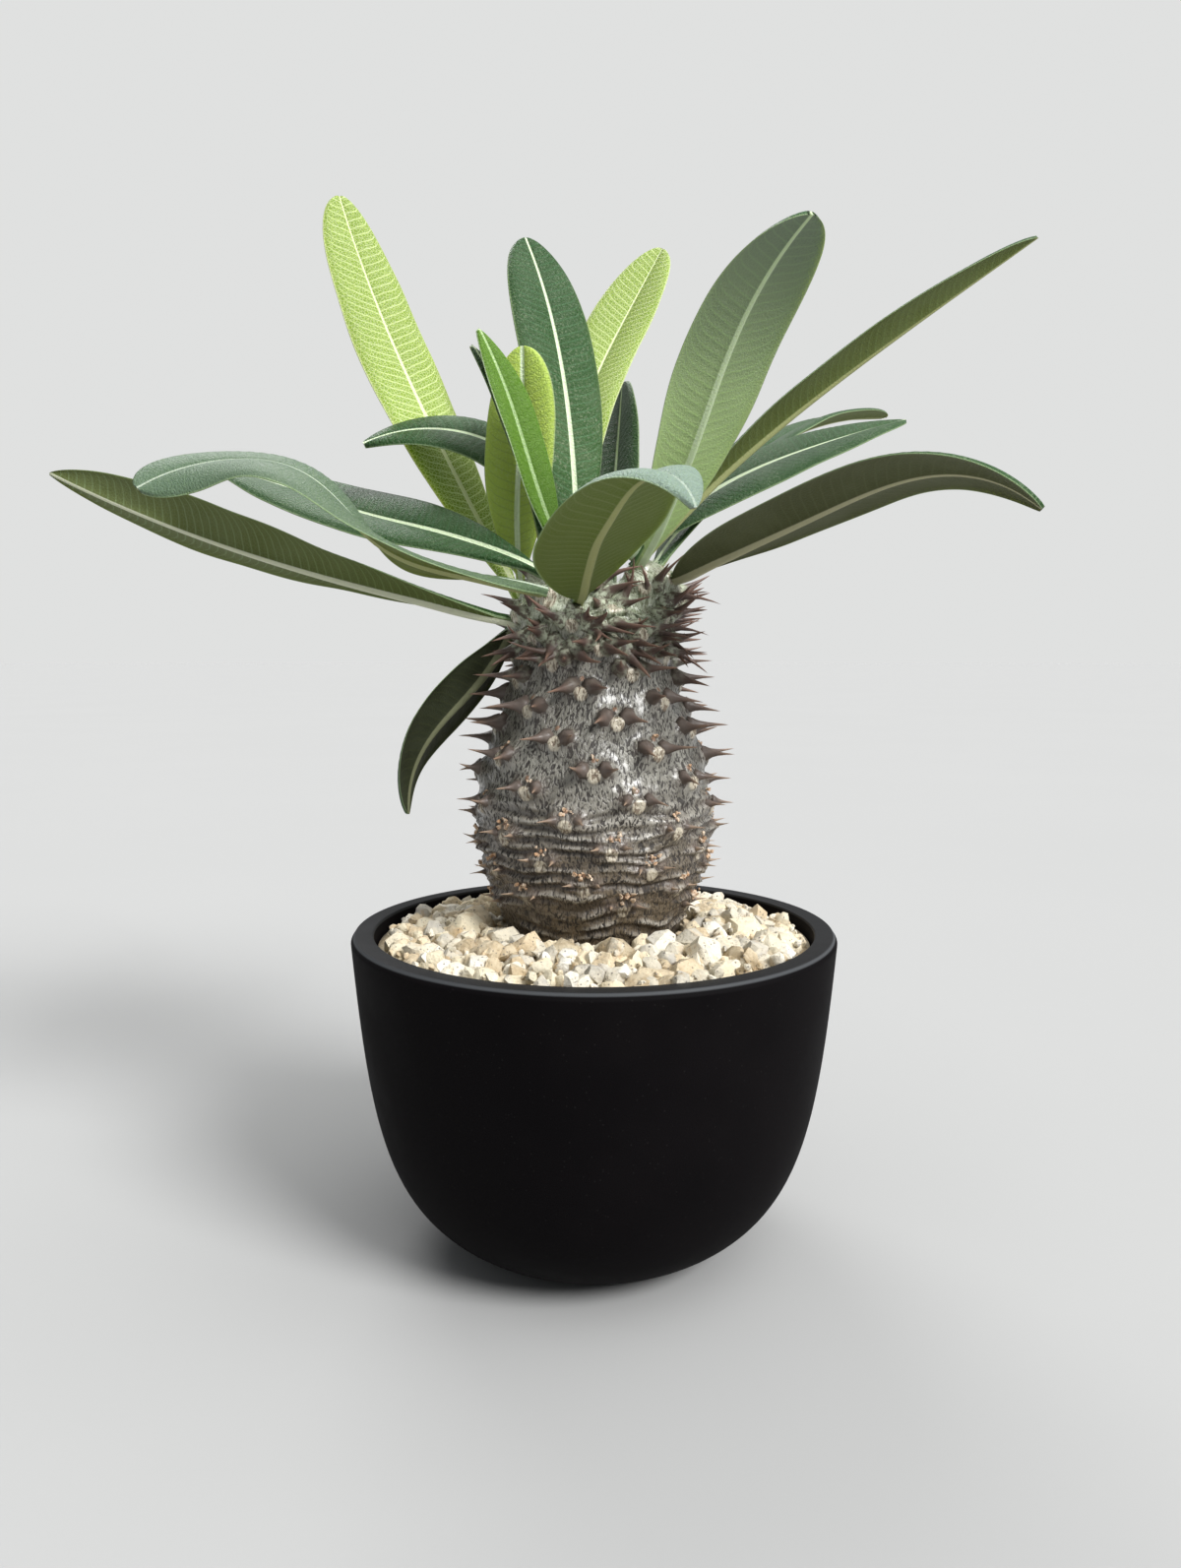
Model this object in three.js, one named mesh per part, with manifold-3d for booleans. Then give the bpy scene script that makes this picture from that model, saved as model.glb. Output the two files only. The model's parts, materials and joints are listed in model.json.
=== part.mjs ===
// A potted pachypodium hybrid: a swollen, spiny trunk with a crown of long leaves, standing in a matte black
// bowl-shaped pot under a bed of pale gravel. Millimetres, +Z up, the origin at the middle of the pot's foot.
// The viewer of the reference picture stands at -Y, so a leaf with heading -90 comes towards that viewer.

import * as THREE from 'three';
import { mergeVertices } from 'three/addons/utils/BufferGeometryUtils.js';
import Module from 'manifold-3d';

const wasm = await Module();
wasm.setup();

const CLEARANCE = 0.3; // between one piece and the next

// Pot
const POT_HEIGHT = 73.5;
const POT_RIM_RADIUS = 55;
const POT_FOOT_RADIUS = 23.7;
const RIM_BEVEL_WIDTH = 0.9;
const RIM_BEVEL_HEIGHT = 1.4;
const RIM_INNER_RADIUS = 50;
const POT_FLOOR = 6;
const POT_SIDE_PULLS = [[51.1, 24.2], [47.4, 9.8]]; // the two handles of the side's Bezier curve, radius and height
const CAVITY_FOOT_RADIUS = 22;
const CAVITY_PULLS = [[46.5, 26], [42.5, 14]];
const POT_FACETS = 36;
const DRAIN_HOLES = 3;
const DRAIN_HOLE_RADIUS = 3.5;
const DRAIN_CIRCLE_RADIUS = 12;

// Drain mesh on the pot's floor
const MESH_RADIUS = 18;
const MESH_THICKNESS = 0.8;
const MESH_BAR = 1.2;
const MESH_BARS = 3;

// Soil and gravel
const SOIL_TOP = 66;
const BED_AT_WALL = 68.6;
const BED_AT_TRUNK = 72.6;
const STONE_SPACING = 6.9;
const STONE_SIZE = [2.8, 4.0]; // smallest and largest half width
const STONE_LIFT = 0.7; // how far a stone's middle lies above the bed
const STONE_TRIES = 6000;
const BED_FACETS = 24;

// Caudex: heights and radii of its outline, from the root's tip to the neck
const CAUDEX_OUTLINE = [
  [38, 1.6], [47, 5.2], [57, 11.5], [66, 17], [76, 21.5], [87, 25.6], [99, 27], [111, 25.5], [120, 22.5],
  [128, 20.4], [137, 18.3], [145, 17],
];
const CAUDEX_RINGS = 15;
const CAUDEX_FACETS = 24;
const CROWN = { middle: [-4.5, 1, 143.5], radii: [15, 15, 11.5] };
const SIDE_SHOOT = { middle: [12.6, 1, 148], radii: [8, 8, 10] };

// Spines: tubercles wind up the trunk by the golden angle, and each carries a pair
const GOLDEN_ANGLE = 137.508;
const SPIRAL_HEIGHT = 128.6; // of the tubercle that the spiral is counted from
const SPIRAL_AZIMUTH = -98; // of that tubercle
const SPIRAL_TOP = 148;
const SPIRAL_BOTTOM = 80;
const PITCH_NECK = 0.62; // height from one tubercle to the next, on the neck, the belly and the foot
const PITCH_BELLY = 0.8;
const PITCH_FOOT = 0.62;
const PAIR_SPREAD = 2.7; // each spine's distance from the middle of its tubercle
const SPINE_ROOT = 1.5; // how deep a spine's root is sunk
const WORN_SPINE = { height: 84, length: 4.2, girth: 1.1 }; // at and below this height
const GROWN_SPINE = { height: 106, length: 9.2, girth: 1.9 }; // at and above this height
const PLAIN_LENGTH = 7; // shorter spines are plain points
const SPINE_SPLAY = 0.55; // how far each spine of a pair leans sideways
const SPINE_LIFT = [0.02, 0.75]; // how far a spine leans upwards, on the trunk and on the crown
const SPINE_ROOM = { length: 1, girth: 0.9 }; // left free round a spine where leaves stand
const SHOOT_TUBERCLES = 9;
const SHOOT_AZIMUTH = -150; // of the side shoot's lowest tubercle
const SHOOT_PITCH = 0.75;

// Leaves. Every list runs from the leaf's base to its tip, evenly spaced, and the leaf bends smoothly
// through its values. heading: compass direction, anticlockwise from +X. rise: angle above the horizon.
// roll: turn about the midrib, the right-hand edge up. fold: how far each half blade is raised.
const LEAVES = {
  leaf_01: { base: [-18, 11, 149.5], heading: [153, 154], rise: [58, 62, 71], roll: [21, 24],
    fold: [-3, 0], length: 109, width: 21 },
  leaf_02: { base: [-4, 3.5, 155], heading: [96, 132], rise: [81, 71, 60], roll: [-26, 15],
    fold: [3, -2], length: 85, width: 20 },
  leaf_03: { base: [-5.5, 14, 151.5], heading: [97, 61, 41], rise: [89, 56, 56], roll: [14, -37],
    fold: [15, 19], length: 102, width: 17.5 },
  leaf_04: { base: [4, 11, 152.5], heading: [86, 80], rise: [56, 58, 66], roll: [24, 60],
    fold: [12, 6], length: 60, width: 19 },
  leaf_05: { base: [-8.5, 11, 155], heading: [179, 188], rise: [103, 29, -26], roll: [60, 25],
    fold: [0, -2], length: 65, width: 18 },
  leaf_06: { base: [-16.5, 2, 152], heading: [176, 171], rise: [84, 94, 89], roll: [85, 100],
    fold: [11, 3], length: 51, width: 16 },
  leaf_07: { base: [-6.5, -7.5, 155], heading: [174, 172], rise: [66, 73, 63], roll: [45, 28],
    fold: [25, 14], length: 53, width: 12 },
  leaf_08: { base: [11, -6, 157], heading: [-56, -55], rise: [44, 59, 27], roll: [-3, -3],
    fold: [5, -5], length: 75, width: 24 },
  leaf_09: { base: [12.5, -1.5, 159], heading: [1, -1], rise: [47, 37, 34], roll: [6, 4],
    fold: [28, 22], length: 106, width: 17.5 },
  leaf_10: { base: [12.5, 3.5, 160.5], heading: [33, 19], rise: [40, 22, 16], roll: [-29, -16],
    fold: [-6, 9], length: 81, width: 20 },
  leaf_11: { base: [13.5, 8, 154], heading: [55, 34], rise: [43, 29, 5], roll: [4, 1],
    fold: [12, 8], length: 110, width: 20 },
  leaf_12: { base: [17.5, -3, 152], heading: [-70, -38, -25], rise: [4, 16, 14, -44], roll: [3, 8, 9],
    fold: [20, -3], length: 87, width: 25 },
  leaf_13: { base: [-3, -15.5, 147.5], heading: [-84, -78, -30], rise: [10, 19, 16, 24, -74], roll: [-22, -14, -7],
    fold: [2, 3], length: 66, width: 26 },
  leaf_14: { base: [-10, -12.5, 148.5], heading: [220, 173, 171, 217], rise: [10, 13, 46, 2, -35], roll: [29, -35, 18, 44],
    fold: [-2, -7], length: 96, width: 22.5 },
  leaf_15: { base: [-11.5, -9.5, 153], heading: [166, 147, 150], rise: [26, 14, 18, 14], roll: [46, 12],
    fold: [11, 3], length: 96, width: 21 },
  leaf_16: { base: [-18.5, -2.5, 143], heading: [172, 176], rise: [11, 17, 26], roll: [-14, -52],
    fold: [12, 22], length: 112, width: 20 },
  leaf_17: { base: [-18.5, 2.5, 142], heading: [201, 194], rise: [-66, -46, -93], roll: [-57, -20],
    fold: [20, 2], length: 50, width: 20 },
  leaf_18: { base: [-10, -5, 154], heading: [173, 173], rise: [80, 72, 58], roll: [28, 30],
    fold: [24, 20], length: 51, width: 9 },
};
const LEAF_STATIONS = 8;
const LEAF_COLUMNS = [-1, -0.5, 0, 0.5, 1];
const MIDRIB_STEPS = 60;
const LEAF_BULGE = 0.07; // how far the middle of a half blade stands above the straight line to its edge
const PETIOLE_SHARE = 0.13; // the petiole's width as a share of the blade's
const PETIOLE_THICKNESS = 2.0;
const BLADE_THICKNESS = 0.8;
const PETIOLE_SINK = 6; // how far the petiole is carried back before the crown cuts it off
const TIP_WIDTH = 1.2;

const COLOURS = {
  pot: [0x17171a, 0.55], mesh: [0x2b2b2b, 0.8], soil: [0x3d2f24, 0.95], gravel: [0xcdbb9a, 0.9],
  caudex: [0x77716a, 0.75], leaf: [0x3f6b3a, 0.45],
};

// A seeded random number, from 0 to 1
function randomFrom(seed) {
  let state = seed;
  return () => {
    state = (state + 0x6d2b79f5) | 0;
    let t = Math.imul(state ^ (state >>> 15), 1 | state);
    t = (t + Math.imul(t ^ (t >>> 7), 61 | t)) ^ t;
    return ((t ^ (t >>> 14)) >>> 0) / 4294967296;
  };
}

const radians = THREE.MathUtils.degToRad;
const mix = THREE.MathUtils.lerp;

// The value at s, from 0 to 1, of a smooth run through evenly spaced values
function along(values, s) {
  const place = s * (values.length - 1);
  const i = Math.min(Math.floor(place), values.length - 2);
  const f = place - i;
  const at = (k) => {
    if (k < 0) return 2 * values[0] - values[1];
    if (k >= values.length) return 2 * values.at(-1) - values.at(-2);
    return values[k];
  };
  const [a, b, c, d] = [at(i - 1), at(i), at(i + 1), at(i + 2)];
  return b + 0.5 * f * (c - a + f * (2 * a - 5 * b + 4 * c - d + f * (3 * (b - c) + d - a)));
}

// A closed geometry as a solid that can be joined and cut, and back
function solidOf(geometry) {
  const bare = geometry.index ? geometry.toNonIndexed() : geometry.clone();
  const points = new THREE.BufferGeometry().setAttribute('position', bare.getAttribute('position'));
  const merged = mergeVertices(points, 1e-4);
  return new wasm.Manifold(new wasm.Mesh({
    numProp: 3,
    vertProperties: merged.attributes.position.array,
    triVerts: new Uint32Array(merged.index.array),
  }));
}

function geometryOf(solid) {
  const mesh = solid.getMesh();
  const geometry = new THREE.BufferGeometry();
  geometry.setAttribute('position', new THREE.BufferAttribute(mesh.vertProperties, 3));
  geometry.setIndex(new THREE.BufferAttribute(mesh.triVerts, 1));
  return geometry;
}

// The largest body of a solid: scraps that a cut leaves are dropped
function largest(solid) {
  const bodies = solid.decompose();
  return bodies.reduce((best, body) => (body.volume() > best.volume() ? body : best));
}

// A closed outline of [radius, height] pairs turned about Z
function turned(outline, facets) {
  const points = outline.map(([r, z]) => new THREE.Vector2(r, z));
  return new THREE.LatheGeometry(points, facets).rotateX(Math.PI / 2);
}

// Points on the Bezier curve from the rim down to the foot, as [radius, height]
function bezierSide(rim, pulls, foot, steps) {
  const [a, b, c, d] = [rim, ...pulls, foot].map(([r, z]) => new THREE.Vector2(r, z));
  const curve = new THREE.CubicBezierCurve(a, b, c, d);
  return curve.getPoints(steps).map((p) => [p.x, p.y]);
}

const potSide = bezierSide(
  [POT_RIM_RADIUS, POT_HEIGHT - RIM_BEVEL_HEIGHT], POT_SIDE_PULLS, [POT_FOOT_RADIUS, 0], 9,
);
const cavitySide = (offset) => bezierSide(
  [RIM_INNER_RADIUS - offset, POT_HEIGHT],
  CAVITY_PULLS.map(([r, z]) => [r - offset, z + offset]),
  [CAVITY_FOOT_RADIUS - offset, POT_FLOOR + offset], 6,
);

function potSolid() {
  const outline = [
    [0, 0],
    ...potSide.toReversed(),
    [POT_RIM_RADIUS - RIM_BEVEL_WIDTH, POT_HEIGHT],
    ...cavitySide(0),
    [0, POT_FLOOR],
  ];
  let pot = solidOf(turned(outline, POT_FACETS));
  for (let i = 0; i < DRAIN_HOLES; i += 1) {
    const turn = (2 * Math.PI * i) / DRAIN_HOLES;
    const hole = new THREE.CylinderGeometry(DRAIN_HOLE_RADIUS, DRAIN_HOLE_RADIUS, 4 * POT_FLOOR, 10)
      .rotateX(Math.PI / 2)
      .translate(DRAIN_CIRCLE_RADIUS * Math.cos(turn), DRAIN_CIRCLE_RADIUS * Math.sin(turn), 0);
    pot = pot.subtract(solidOf(hole));
  }
  return pot;
}

function drainMeshSolid() {
  const bottom = POT_FLOOR + CLEARANCE;
  const top = bottom + MESH_THICKNESS;
  const ring = turned([
    [MESH_RADIUS - MESH_BAR, bottom], [MESH_RADIUS, bottom], [MESH_RADIUS, top], [MESH_RADIUS - MESH_BAR, top],
    [MESH_RADIUS - MESH_BAR, bottom],
  ], 24);
  const pieces = [solidOf(ring)];
  const pitch = (2 * MESH_RADIUS) / (MESH_BARS + 1);
  for (let i = 1; i <= MESH_BARS; i += 1) {
    const aside = i * pitch - MESH_RADIUS;
    const length = 2 * Math.sqrt(MESH_RADIUS ** 2 - aside ** 2) - MESH_BAR;
    const bar = new THREE.BoxGeometry(length, MESH_BAR, MESH_THICKNESS);
    bar.translate(0, aside, (bottom + top) / 2);
    pieces.push(solidOf(bar), solidOf(bar.clone().rotateZ(Math.PI / 2)));
  }
  return wasm.Manifold.union(pieces);
}

// The caudex's radius at a height
function caudexRadius(z) {
  const heights = CAUDEX_OUTLINE.map((p) => p[0]);
  const last = heights.length - 1;
  if (z <= heights[0]) return CAUDEX_OUTLINE[0][1];
  if (z >= heights[last]) return CAUDEX_OUTLINE[last][1];
  const i = heights.findLastIndex((h) => h <= z);
  const place = (i + (z - heights[i]) / (heights[i + 1] - heights[i])) / last;
  return along(CAUDEX_OUTLINE.map((p) => p[1]), place);
}

// The smooth body of the caudex, grown outwards by an offset
function caudexBody(offset) {
  const low = CAUDEX_OUTLINE[0][0];
  const high = CAUDEX_OUTLINE.at(-1)[0];
  const outline = [[0, low - offset]];
  for (let i = 0; i <= CAUDEX_RINGS; i += 1) {
    const z = mix(low, high, i / CAUDEX_RINGS);
    outline.push([caudexRadius(z) + offset, z]);
  }
  outline.push([0, high]);
  const pieces = [solidOf(turned(outline, CAUDEX_FACETS))];
  for (const { middle, radii } of [CROWN, SIDE_SHOOT]) {
    const dome = new THREE.SphereGeometry(1, 18, 12)
      .rotateX(Math.PI / 2)
      .scale(...radii.map((r) => r + offset))
      .translate(...middle);
    pieces.push(solidOf(dome));
  }
  return wasm.Manifold.union(pieces);
}

// Whether a point lies inside the smooth caudex
function insideCaudex(p) {
  const inTrunk = p.z < CAUDEX_OUTLINE.at(-1)[0] && Math.hypot(p.x, p.y) < caudexRadius(p.z);
  const inDome = ({ middle, radii }) => (
    ((p.x - middle[0]) / radii[0]) ** 2 + ((p.y - middle[1]) / radii[1]) ** 2
      + ((p.z - middle[2]) / radii[2]) ** 2 < 1
  );
  return inTrunk || inDome(CROWN) || inDome(SIDE_SHOOT);
}

// The outermost point of the smooth caudex on a ray from a start point
function surfacePoint(start, direction) {
  let t = 40;
  while (t > 0 && !insideCaudex(start.clone().addScaledVector(direction, t))) t -= 0.1;
  return start.clone().addScaledVector(direction, t);
}

// A three-sided spine: a plain point, or one that narrows in a curve from a broad root
function spineSolid(foot, direction, length, girth, plain) {
  const sides = 3;
  const rings = [[-SPINE_ROOT, girth]];
  if (!plain) rings.push([length * 0.38, girth * 0.42]);
  const aside = new THREE.Vector3(0, 0, 1).cross(direction).normalize();
  const above = direction.clone().cross(aside);
  const points = [];
  for (const [reach, radius] of rings) {
    for (let i = 0; i < sides; i += 1) {
      const turn = (2 * Math.PI * i) / sides - Math.PI / 2;
      points.push(foot.clone().addScaledVector(direction, reach)
        .addScaledVector(aside, radius * Math.cos(turn))
        .addScaledVector(above, radius * Math.sin(turn)));
    }
  }
  const tip = points.push(foot.clone().addScaledVector(direction, length)) - 1;
  const index = [0, 2, 1];
  for (let i = 0; i < sides; i += 1) {
    const j = (i + 1) % sides;
    const last = sides * (rings.length - 1);
    if (last > 0) index.push(i, j, sides + j, i, sides + j, sides + i);
    index.push(last + i, last + j, tip);
  }
  const geometry = new THREE.BufferGeometry().setFromPoints(points);
  geometry.setIndex(index);
  return solidOf(geometry);
}

// How long and how thick a spine is at a height: worn and short at the foot, long on the belly and neck
function spineSize(z) {
  const grown = THREE.MathUtils.smoothstep(z, WORN_SPINE.height, GROWN_SPINE.height);
  return {
    length: mix(WORN_SPINE.length, GROWN_SPINE.length, grown),
    girth: mix(WORN_SPINE.girth, GROWN_SPINE.girth, grown),
  };
}

// The height step from one tubercle to the next
function pitchAt(z) {
  const towardsNeck = THREE.MathUtils.smoothstep(z, 128, 138);
  const aboveFoot = THREE.MathUtils.smoothstep(z, 94, 104);
  if (z > 116) return mix(PITCH_BELLY, PITCH_NECK, towardsNeck);
  return mix(PITCH_FOOT, PITCH_BELLY, aboveFoot);
}

// The middle and the outward direction of every tubercle
function tubercles() {
  const places = [];
  const walk = (step) => {
    let z = SPIRAL_HEIGHT;
    for (let k = 0; z > SPIRAL_BOTTOM && z < SPIRAL_TOP; k += step) {
      const turn = radians(SPIRAL_AZIMUTH + GOLDEN_ANGLE * k);
      const out = new THREE.Vector3(Math.cos(turn), Math.sin(turn), 0);
      if (k !== 0 || step > 0) places.push({ middle: surfacePoint(new THREE.Vector3(0, 0, z), out), out });
      z -= step * pitchAt(z);
    }
  };
  walk(1);
  walk(-1);
  const [x, y, z] = SIDE_SHOOT.middle;
  for (let k = 0; k < SHOOT_TUBERCLES; k += 1) {
    const turn = radians(SHOOT_AZIMUTH + GOLDEN_ANGLE * k);
    const out = new THREE.Vector3(Math.cos(turn), Math.sin(turn), 0);
    const middle = surfacePoint(new THREE.Vector3(x, y, z + SHOOT_PITCH * (k + 1)), out);
    places.push({ middle, out });
  }
  return places;
}

// Every pair of spines that no leaf stands in the way of
function spineSolids(leaves) {
  const random = randomFrom(7);
  const spines = [];
  for (const { middle, out } of tubercles()) {
    const aside = new THREE.Vector3(0, 0, 1).cross(out);
    const { length, girth } = spineSize(middle.z);
    const lift = THREE.MathUtils.smoothstep(middle.z, 138, 156);
    for (const hand of [-1, 1]) {
      const across = hand * (SPINE_SPLAY + 0.15 * (random() - 0.5));
      const up = mix(...SPINE_LIFT, lift) + 0.3 * (random() - 0.5);
      const direction = out.clone().addScaledVector(aside, across)
        .add(new THREE.Vector3(0, 0, up)).normalize();
      const start = middle.clone().addScaledVector(out, -6).addScaledVector(aside, hand * PAIR_SPREAD);
      const foot = surfacePoint(start, out);
      const reach = length * mix(0.85, 1.1, random());
      const guard = spineSolid(
        foot, direction, reach + SPINE_ROOM.length, girth + SPINE_ROOM.girth, true,
      );
      const blocked = leaves.some((leaf) => leaf.intersect(guard).volume() > 0);
      if (!blocked) spines.push(spineSolid(foot, direction, reach, girth, reach < PLAIN_LENGTH));
    }
  }
  return spines;
}

// The blade's width at s, as a share of its greatest
function leafOutline(s) {
  const opening = THREE.MathUtils.clamp((s - 0.03) / 0.52, 0, 1);
  const lower = mix(PETIOLE_SHARE, 1, Math.sin((Math.PI / 2) * opening) ** 0.9);
  const closing = THREE.MathUtils.clamp((s - 0.6) / 0.4, 0, 1);
  return lower * Math.sqrt(1 - closing ** 2.6);
}

// One leaf: a thin blade on a bent, rolled and folded midrib
function leafSolid({ base, heading, rise, roll, fold, length, width }) {
  const steps = MIDRIB_STEPS;
  const spots = [0];
  for (let i = 0; i <= LEAF_STATIONS; i += 1) spots.push(mix(0.015, 1, 1 - (1 - i / LEAF_STATIONS) ** 1.3));
  const tangentAt = (s) => {
    const h = radians(along(heading, s));
    const e = radians(along(rise, s));
    return new THREE.Vector3(Math.cos(e) * Math.cos(h), Math.cos(e) * Math.sin(h), Math.sin(e));
  };
  const midrib = [new THREE.Vector3(...base)];
  for (let i = 1; i <= steps; i += 1) {
    midrib.push(midrib.at(-1).clone().addScaledVector(tangentAt((i - 0.5) / steps), length / steps));
  }
  const midribAt = (s) => {
    const place = Math.min(s * steps, steps - 1e-6);
    const i = Math.floor(place);
    return midrib[i].clone().lerp(midrib[i + 1], place - i);
  };
  const rows = spots.map((s, row) => {
    const h = radians(along(heading, s));
    const tangent = tangentAt(s);
    const level = new THREE.Vector3(Math.sin(h), -Math.cos(h), 0);
    const upright = level.clone().cross(tangent);
    const turn = radians(along(roll, s));
    const across = level.clone().multiplyScalar(Math.cos(turn)).addScaledVector(upright, Math.sin(turn));
    const face = upright.clone().multiplyScalar(Math.cos(turn)).addScaledVector(level, -Math.sin(turn));
    const middle = midribAt(s);
    if (row === 0) middle.addScaledVector(tangent, -PETIOLE_SINK);
    const half = Math.max((width / 2) * leafOutline(s), TIP_WIDTH / 2);
    const raise = radians(along(fold, s));
    const thick = mix(PETIOLE_THICKNESS, BLADE_THICKNESS, THREE.MathUtils.smoothstep(s, 0, 0.22));
    return LEAF_COLUMNS.map((u) => {
      const size = Math.abs(u);
      const outwards = half * u * Math.cos(raise);
      const upwards = half * (size * Math.sin(raise) + LEAF_BULGE * 4 * size * (1 - size));
      const point = middle.clone().addScaledVector(across, outwards).addScaledVector(face, upwards);
      const slope = -Math.sign(u) * Math.sin(raise);
      const normal = face.clone().multiplyScalar(Math.cos(raise)).addScaledVector(across, slope).normalize();
      return [point.clone().addScaledVector(normal, thick / 2), point.addScaledVector(normal, -thick / 2)];
    });
  });
  const wide = LEAF_COLUMNS.length;
  const number = (row, column, side) => 2 * (row * wide + column) + side;
  const index = [];
  const quad = (a, b, c, d) => index.push(a, b, c, a, c, d);
  for (let r = 0; r < rows.length - 1; r += 1) {
    for (let c = 0; c < wide - 1; c += 1) {
      const [n00, n01] = [number(r, c, 0), number(r, c + 1, 0)];
      const [n10, n11] = [number(r + 1, c, 0), number(r + 1, c + 1, 0)];
      index.push(n00, n01, n11, n00, n11, n10);
      index.push(n00 + 1, n11 + 1, n01 + 1, n00 + 1, n10 + 1, n11 + 1);
    }
    quad(number(r, 0, 0), number(r + 1, 0, 0), number(r + 1, 0, 1), number(r, 0, 1));
    quad(number(r, wide - 1, 1), number(r + 1, wide - 1, 1), number(r + 1, wide - 1, 0), number(r, wide - 1, 0));
  }
  for (let c = 0; c < wide - 1; c += 1) {
    quad(number(0, c, 0), number(0, c, 1), number(0, c + 1, 1), number(0, c + 1, 0));
    const end = rows.length - 1;
    quad(number(end, c, 0), number(end, c + 1, 0), number(end, c + 1, 1), number(end, c, 1));
  }
  const geometry = new THREE.BufferGeometry().setFromPoints(rows.flat(2));
  geometry.setIndex(index);
  return solidOf(geometry);
}

// The soil: what fills the pot below the gravel, with a plain hole for the root
function soilSolid() {
  const wall = cavitySide(CLEARANCE).toReversed().filter(([, z]) => z < SOIL_TOP - 2);
  const [lowRadius] = wall[0];
  const bottom = POT_FLOOR + 2 * CLEARANCE + MESH_THICKNESS;
  wall[0] = [lowRadius, bottom];
  const rimRadius = mix(wall.at(-1)[0], RIM_INNER_RADIUS - CLEARANCE, 0.3);
  const root = CAUDEX_OUTLINE.filter(([z]) => z < SOIL_TOP - 2).toReversed();
  const outline = [
    [0, bottom],
    ...wall,
    [rimRadius, SOIL_TOP],
    [caudexRadius(SOIL_TOP) + CLEARANCE, SOIL_TOP],
    ...root.map(([z, r]) => [r + 2 * CLEARANCE, z - CLEARANCE]),
    [0, CAUDEX_OUTLINE[0][0] - 3 * CLEARANCE],
  ];
  return solidOf(turned(outline, 24));
}

// A stone: a block with its corners pushed in or out, turned at random
function stoneSolid(random, size, place) {
  const stone = new THREE.BoxGeometry(1.5 * size, 1.3 * size, 1.2 * size).toNonIndexed();
  const merged = mergeVertices(
    new THREE.BufferGeometry().setAttribute('position', stone.getAttribute('position')), 1e-3,
  );
  const corners = merged.attributes.position;
  for (let i = 0; i < corners.count; i += 1) {
    const swell = mix(0.75, 1.15, random());
    corners.setXYZ(i, corners.getX(i) * swell, corners.getY(i) * swell, corners.getZ(i) * swell);
  }
  merged.scale(mix(0.85, 1.2, random()), mix(0.85, 1.1, random()), mix(0.7, 0.95, random()));
  merged.rotateX(1.6 * (random() - 0.5)).rotateY(1.6 * (random() - 0.5)).rotateZ(2 * Math.PI * random());
  merged.translate(place.x, place.y, place.z);
  return solidOf(merged);
}

// The gravel: a bed between the trunk and the pot's wall, with stones fused into its top
function gravelSolid() {
  const random = randomFrom(21);
  const inner = caudexRadius(BED_AT_TRUNK) - 1;
  const outer = RIM_INNER_RADIUS - 1;
  const bedHeight = (r) => mix(BED_AT_TRUNK, BED_AT_WALL, THREE.MathUtils.smoothstep(r, inner, outer));
  const bottom = SOIL_TOP + CLEARANCE;
  const radii = [inner, mix(inner, outer, 0.25), mix(inner, outer, 0.5), mix(inner, outer, 0.75), RIM_INNER_RADIUS];
  const outline = [
    [inner, bottom],
    [RIM_INNER_RADIUS, bottom],
    ...radii.toReversed().map((r) => [r, bedHeight(r)]),
    [inner, bottom],
  ];
  const pieces = [solidOf(turned(outline, BED_FACETS))];
  const placed = [];
  for (let i = 0; i < STONE_TRIES; i += 1) {
    const radius = Math.sqrt(mix((inner + 2.6) ** 2, (outer - 2.4) ** 2, random()));
    const turn = 2 * Math.PI * random();
    const place = new THREE.Vector3(radius * Math.cos(turn), radius * Math.sin(turn), 0);
    if (placed.some((other) => other.distanceTo(place) < STONE_SPACING)) continue;
    placed.push(place);
  }
  for (const place of placed) {
    const size = mix(...STONE_SIZE, random());
    const height = bedHeight(Math.hypot(place.x, place.y)) + STONE_LIFT * mix(0.4, 1.6, random());
    pieces.push(stoneSolid(random, size, new THREE.Vector3(place.x, place.y, height)));
  }
  const heap = wasm.Manifold.union(pieces);
  const room = turned([
    [0, bottom], [RIM_INNER_RADIUS - 1.2, bottom], [RIM_INNER_RADIUS - CLEARANCE, POT_HEIGHT],
    [RIM_INNER_RADIUS - CLEARANCE, POT_HEIGHT + 9], [0, POT_HEIGHT + 9],
  ], POT_FACETS);
  return largest(heap.intersect(solidOf(room)).subtract(caudexBody(CLEARANCE)));
}

const group = new THREE.Group();

function add(name, solid, [colour, roughness]) {
  const material = new THREE.MeshStandardMaterial({ color: colour, roughness, metalness: 0 });
  const mesh = new THREE.Mesh(geometryOf(solid), material);
  mesh.name = name;
  group.add(mesh);
}

const seat = caudexBody(CLEARANCE);
const leafSolids = Object.entries(LEAVES).map(([name, spec]) => [name, largest(leafSolid(spec).subtract(seat))]);
const spines = spineSolids(leafSolids.map(([, solid]) => solid));

add('pot', potSolid(), COLOURS.pot);
add('drain_mesh', drainMeshSolid(), COLOURS.mesh);
add('soil', soilSolid(), COLOURS.soil);
add('gravel', gravelSolid(), COLOURS.gravel);
add('caudex', wasm.Manifold.union([caudexBody(0), ...spines]), COLOURS.caudex);
for (const [name, solid] of leafSolids) add(name, solid, COLOURS.leaf);

export default group;
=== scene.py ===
# %% [markdown]
# # A potted pachypodium
# The real object is a young caudex plant: a swollen, spiny trunk that stores water, a crown of long leaves,
# and a matte black bowl-shaped pot topped with pale gravel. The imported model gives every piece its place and
# its size, and this lesson dresses it piece by piece. Everything is worked out in millimetres, as a maker
# would, and turned into Blender's metres at the last moment.

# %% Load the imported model
import json
import math

import bmesh
import bpy
import numpy as np
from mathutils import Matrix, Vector, noise
from mathutils.bvhtree import BVHTree

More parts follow.
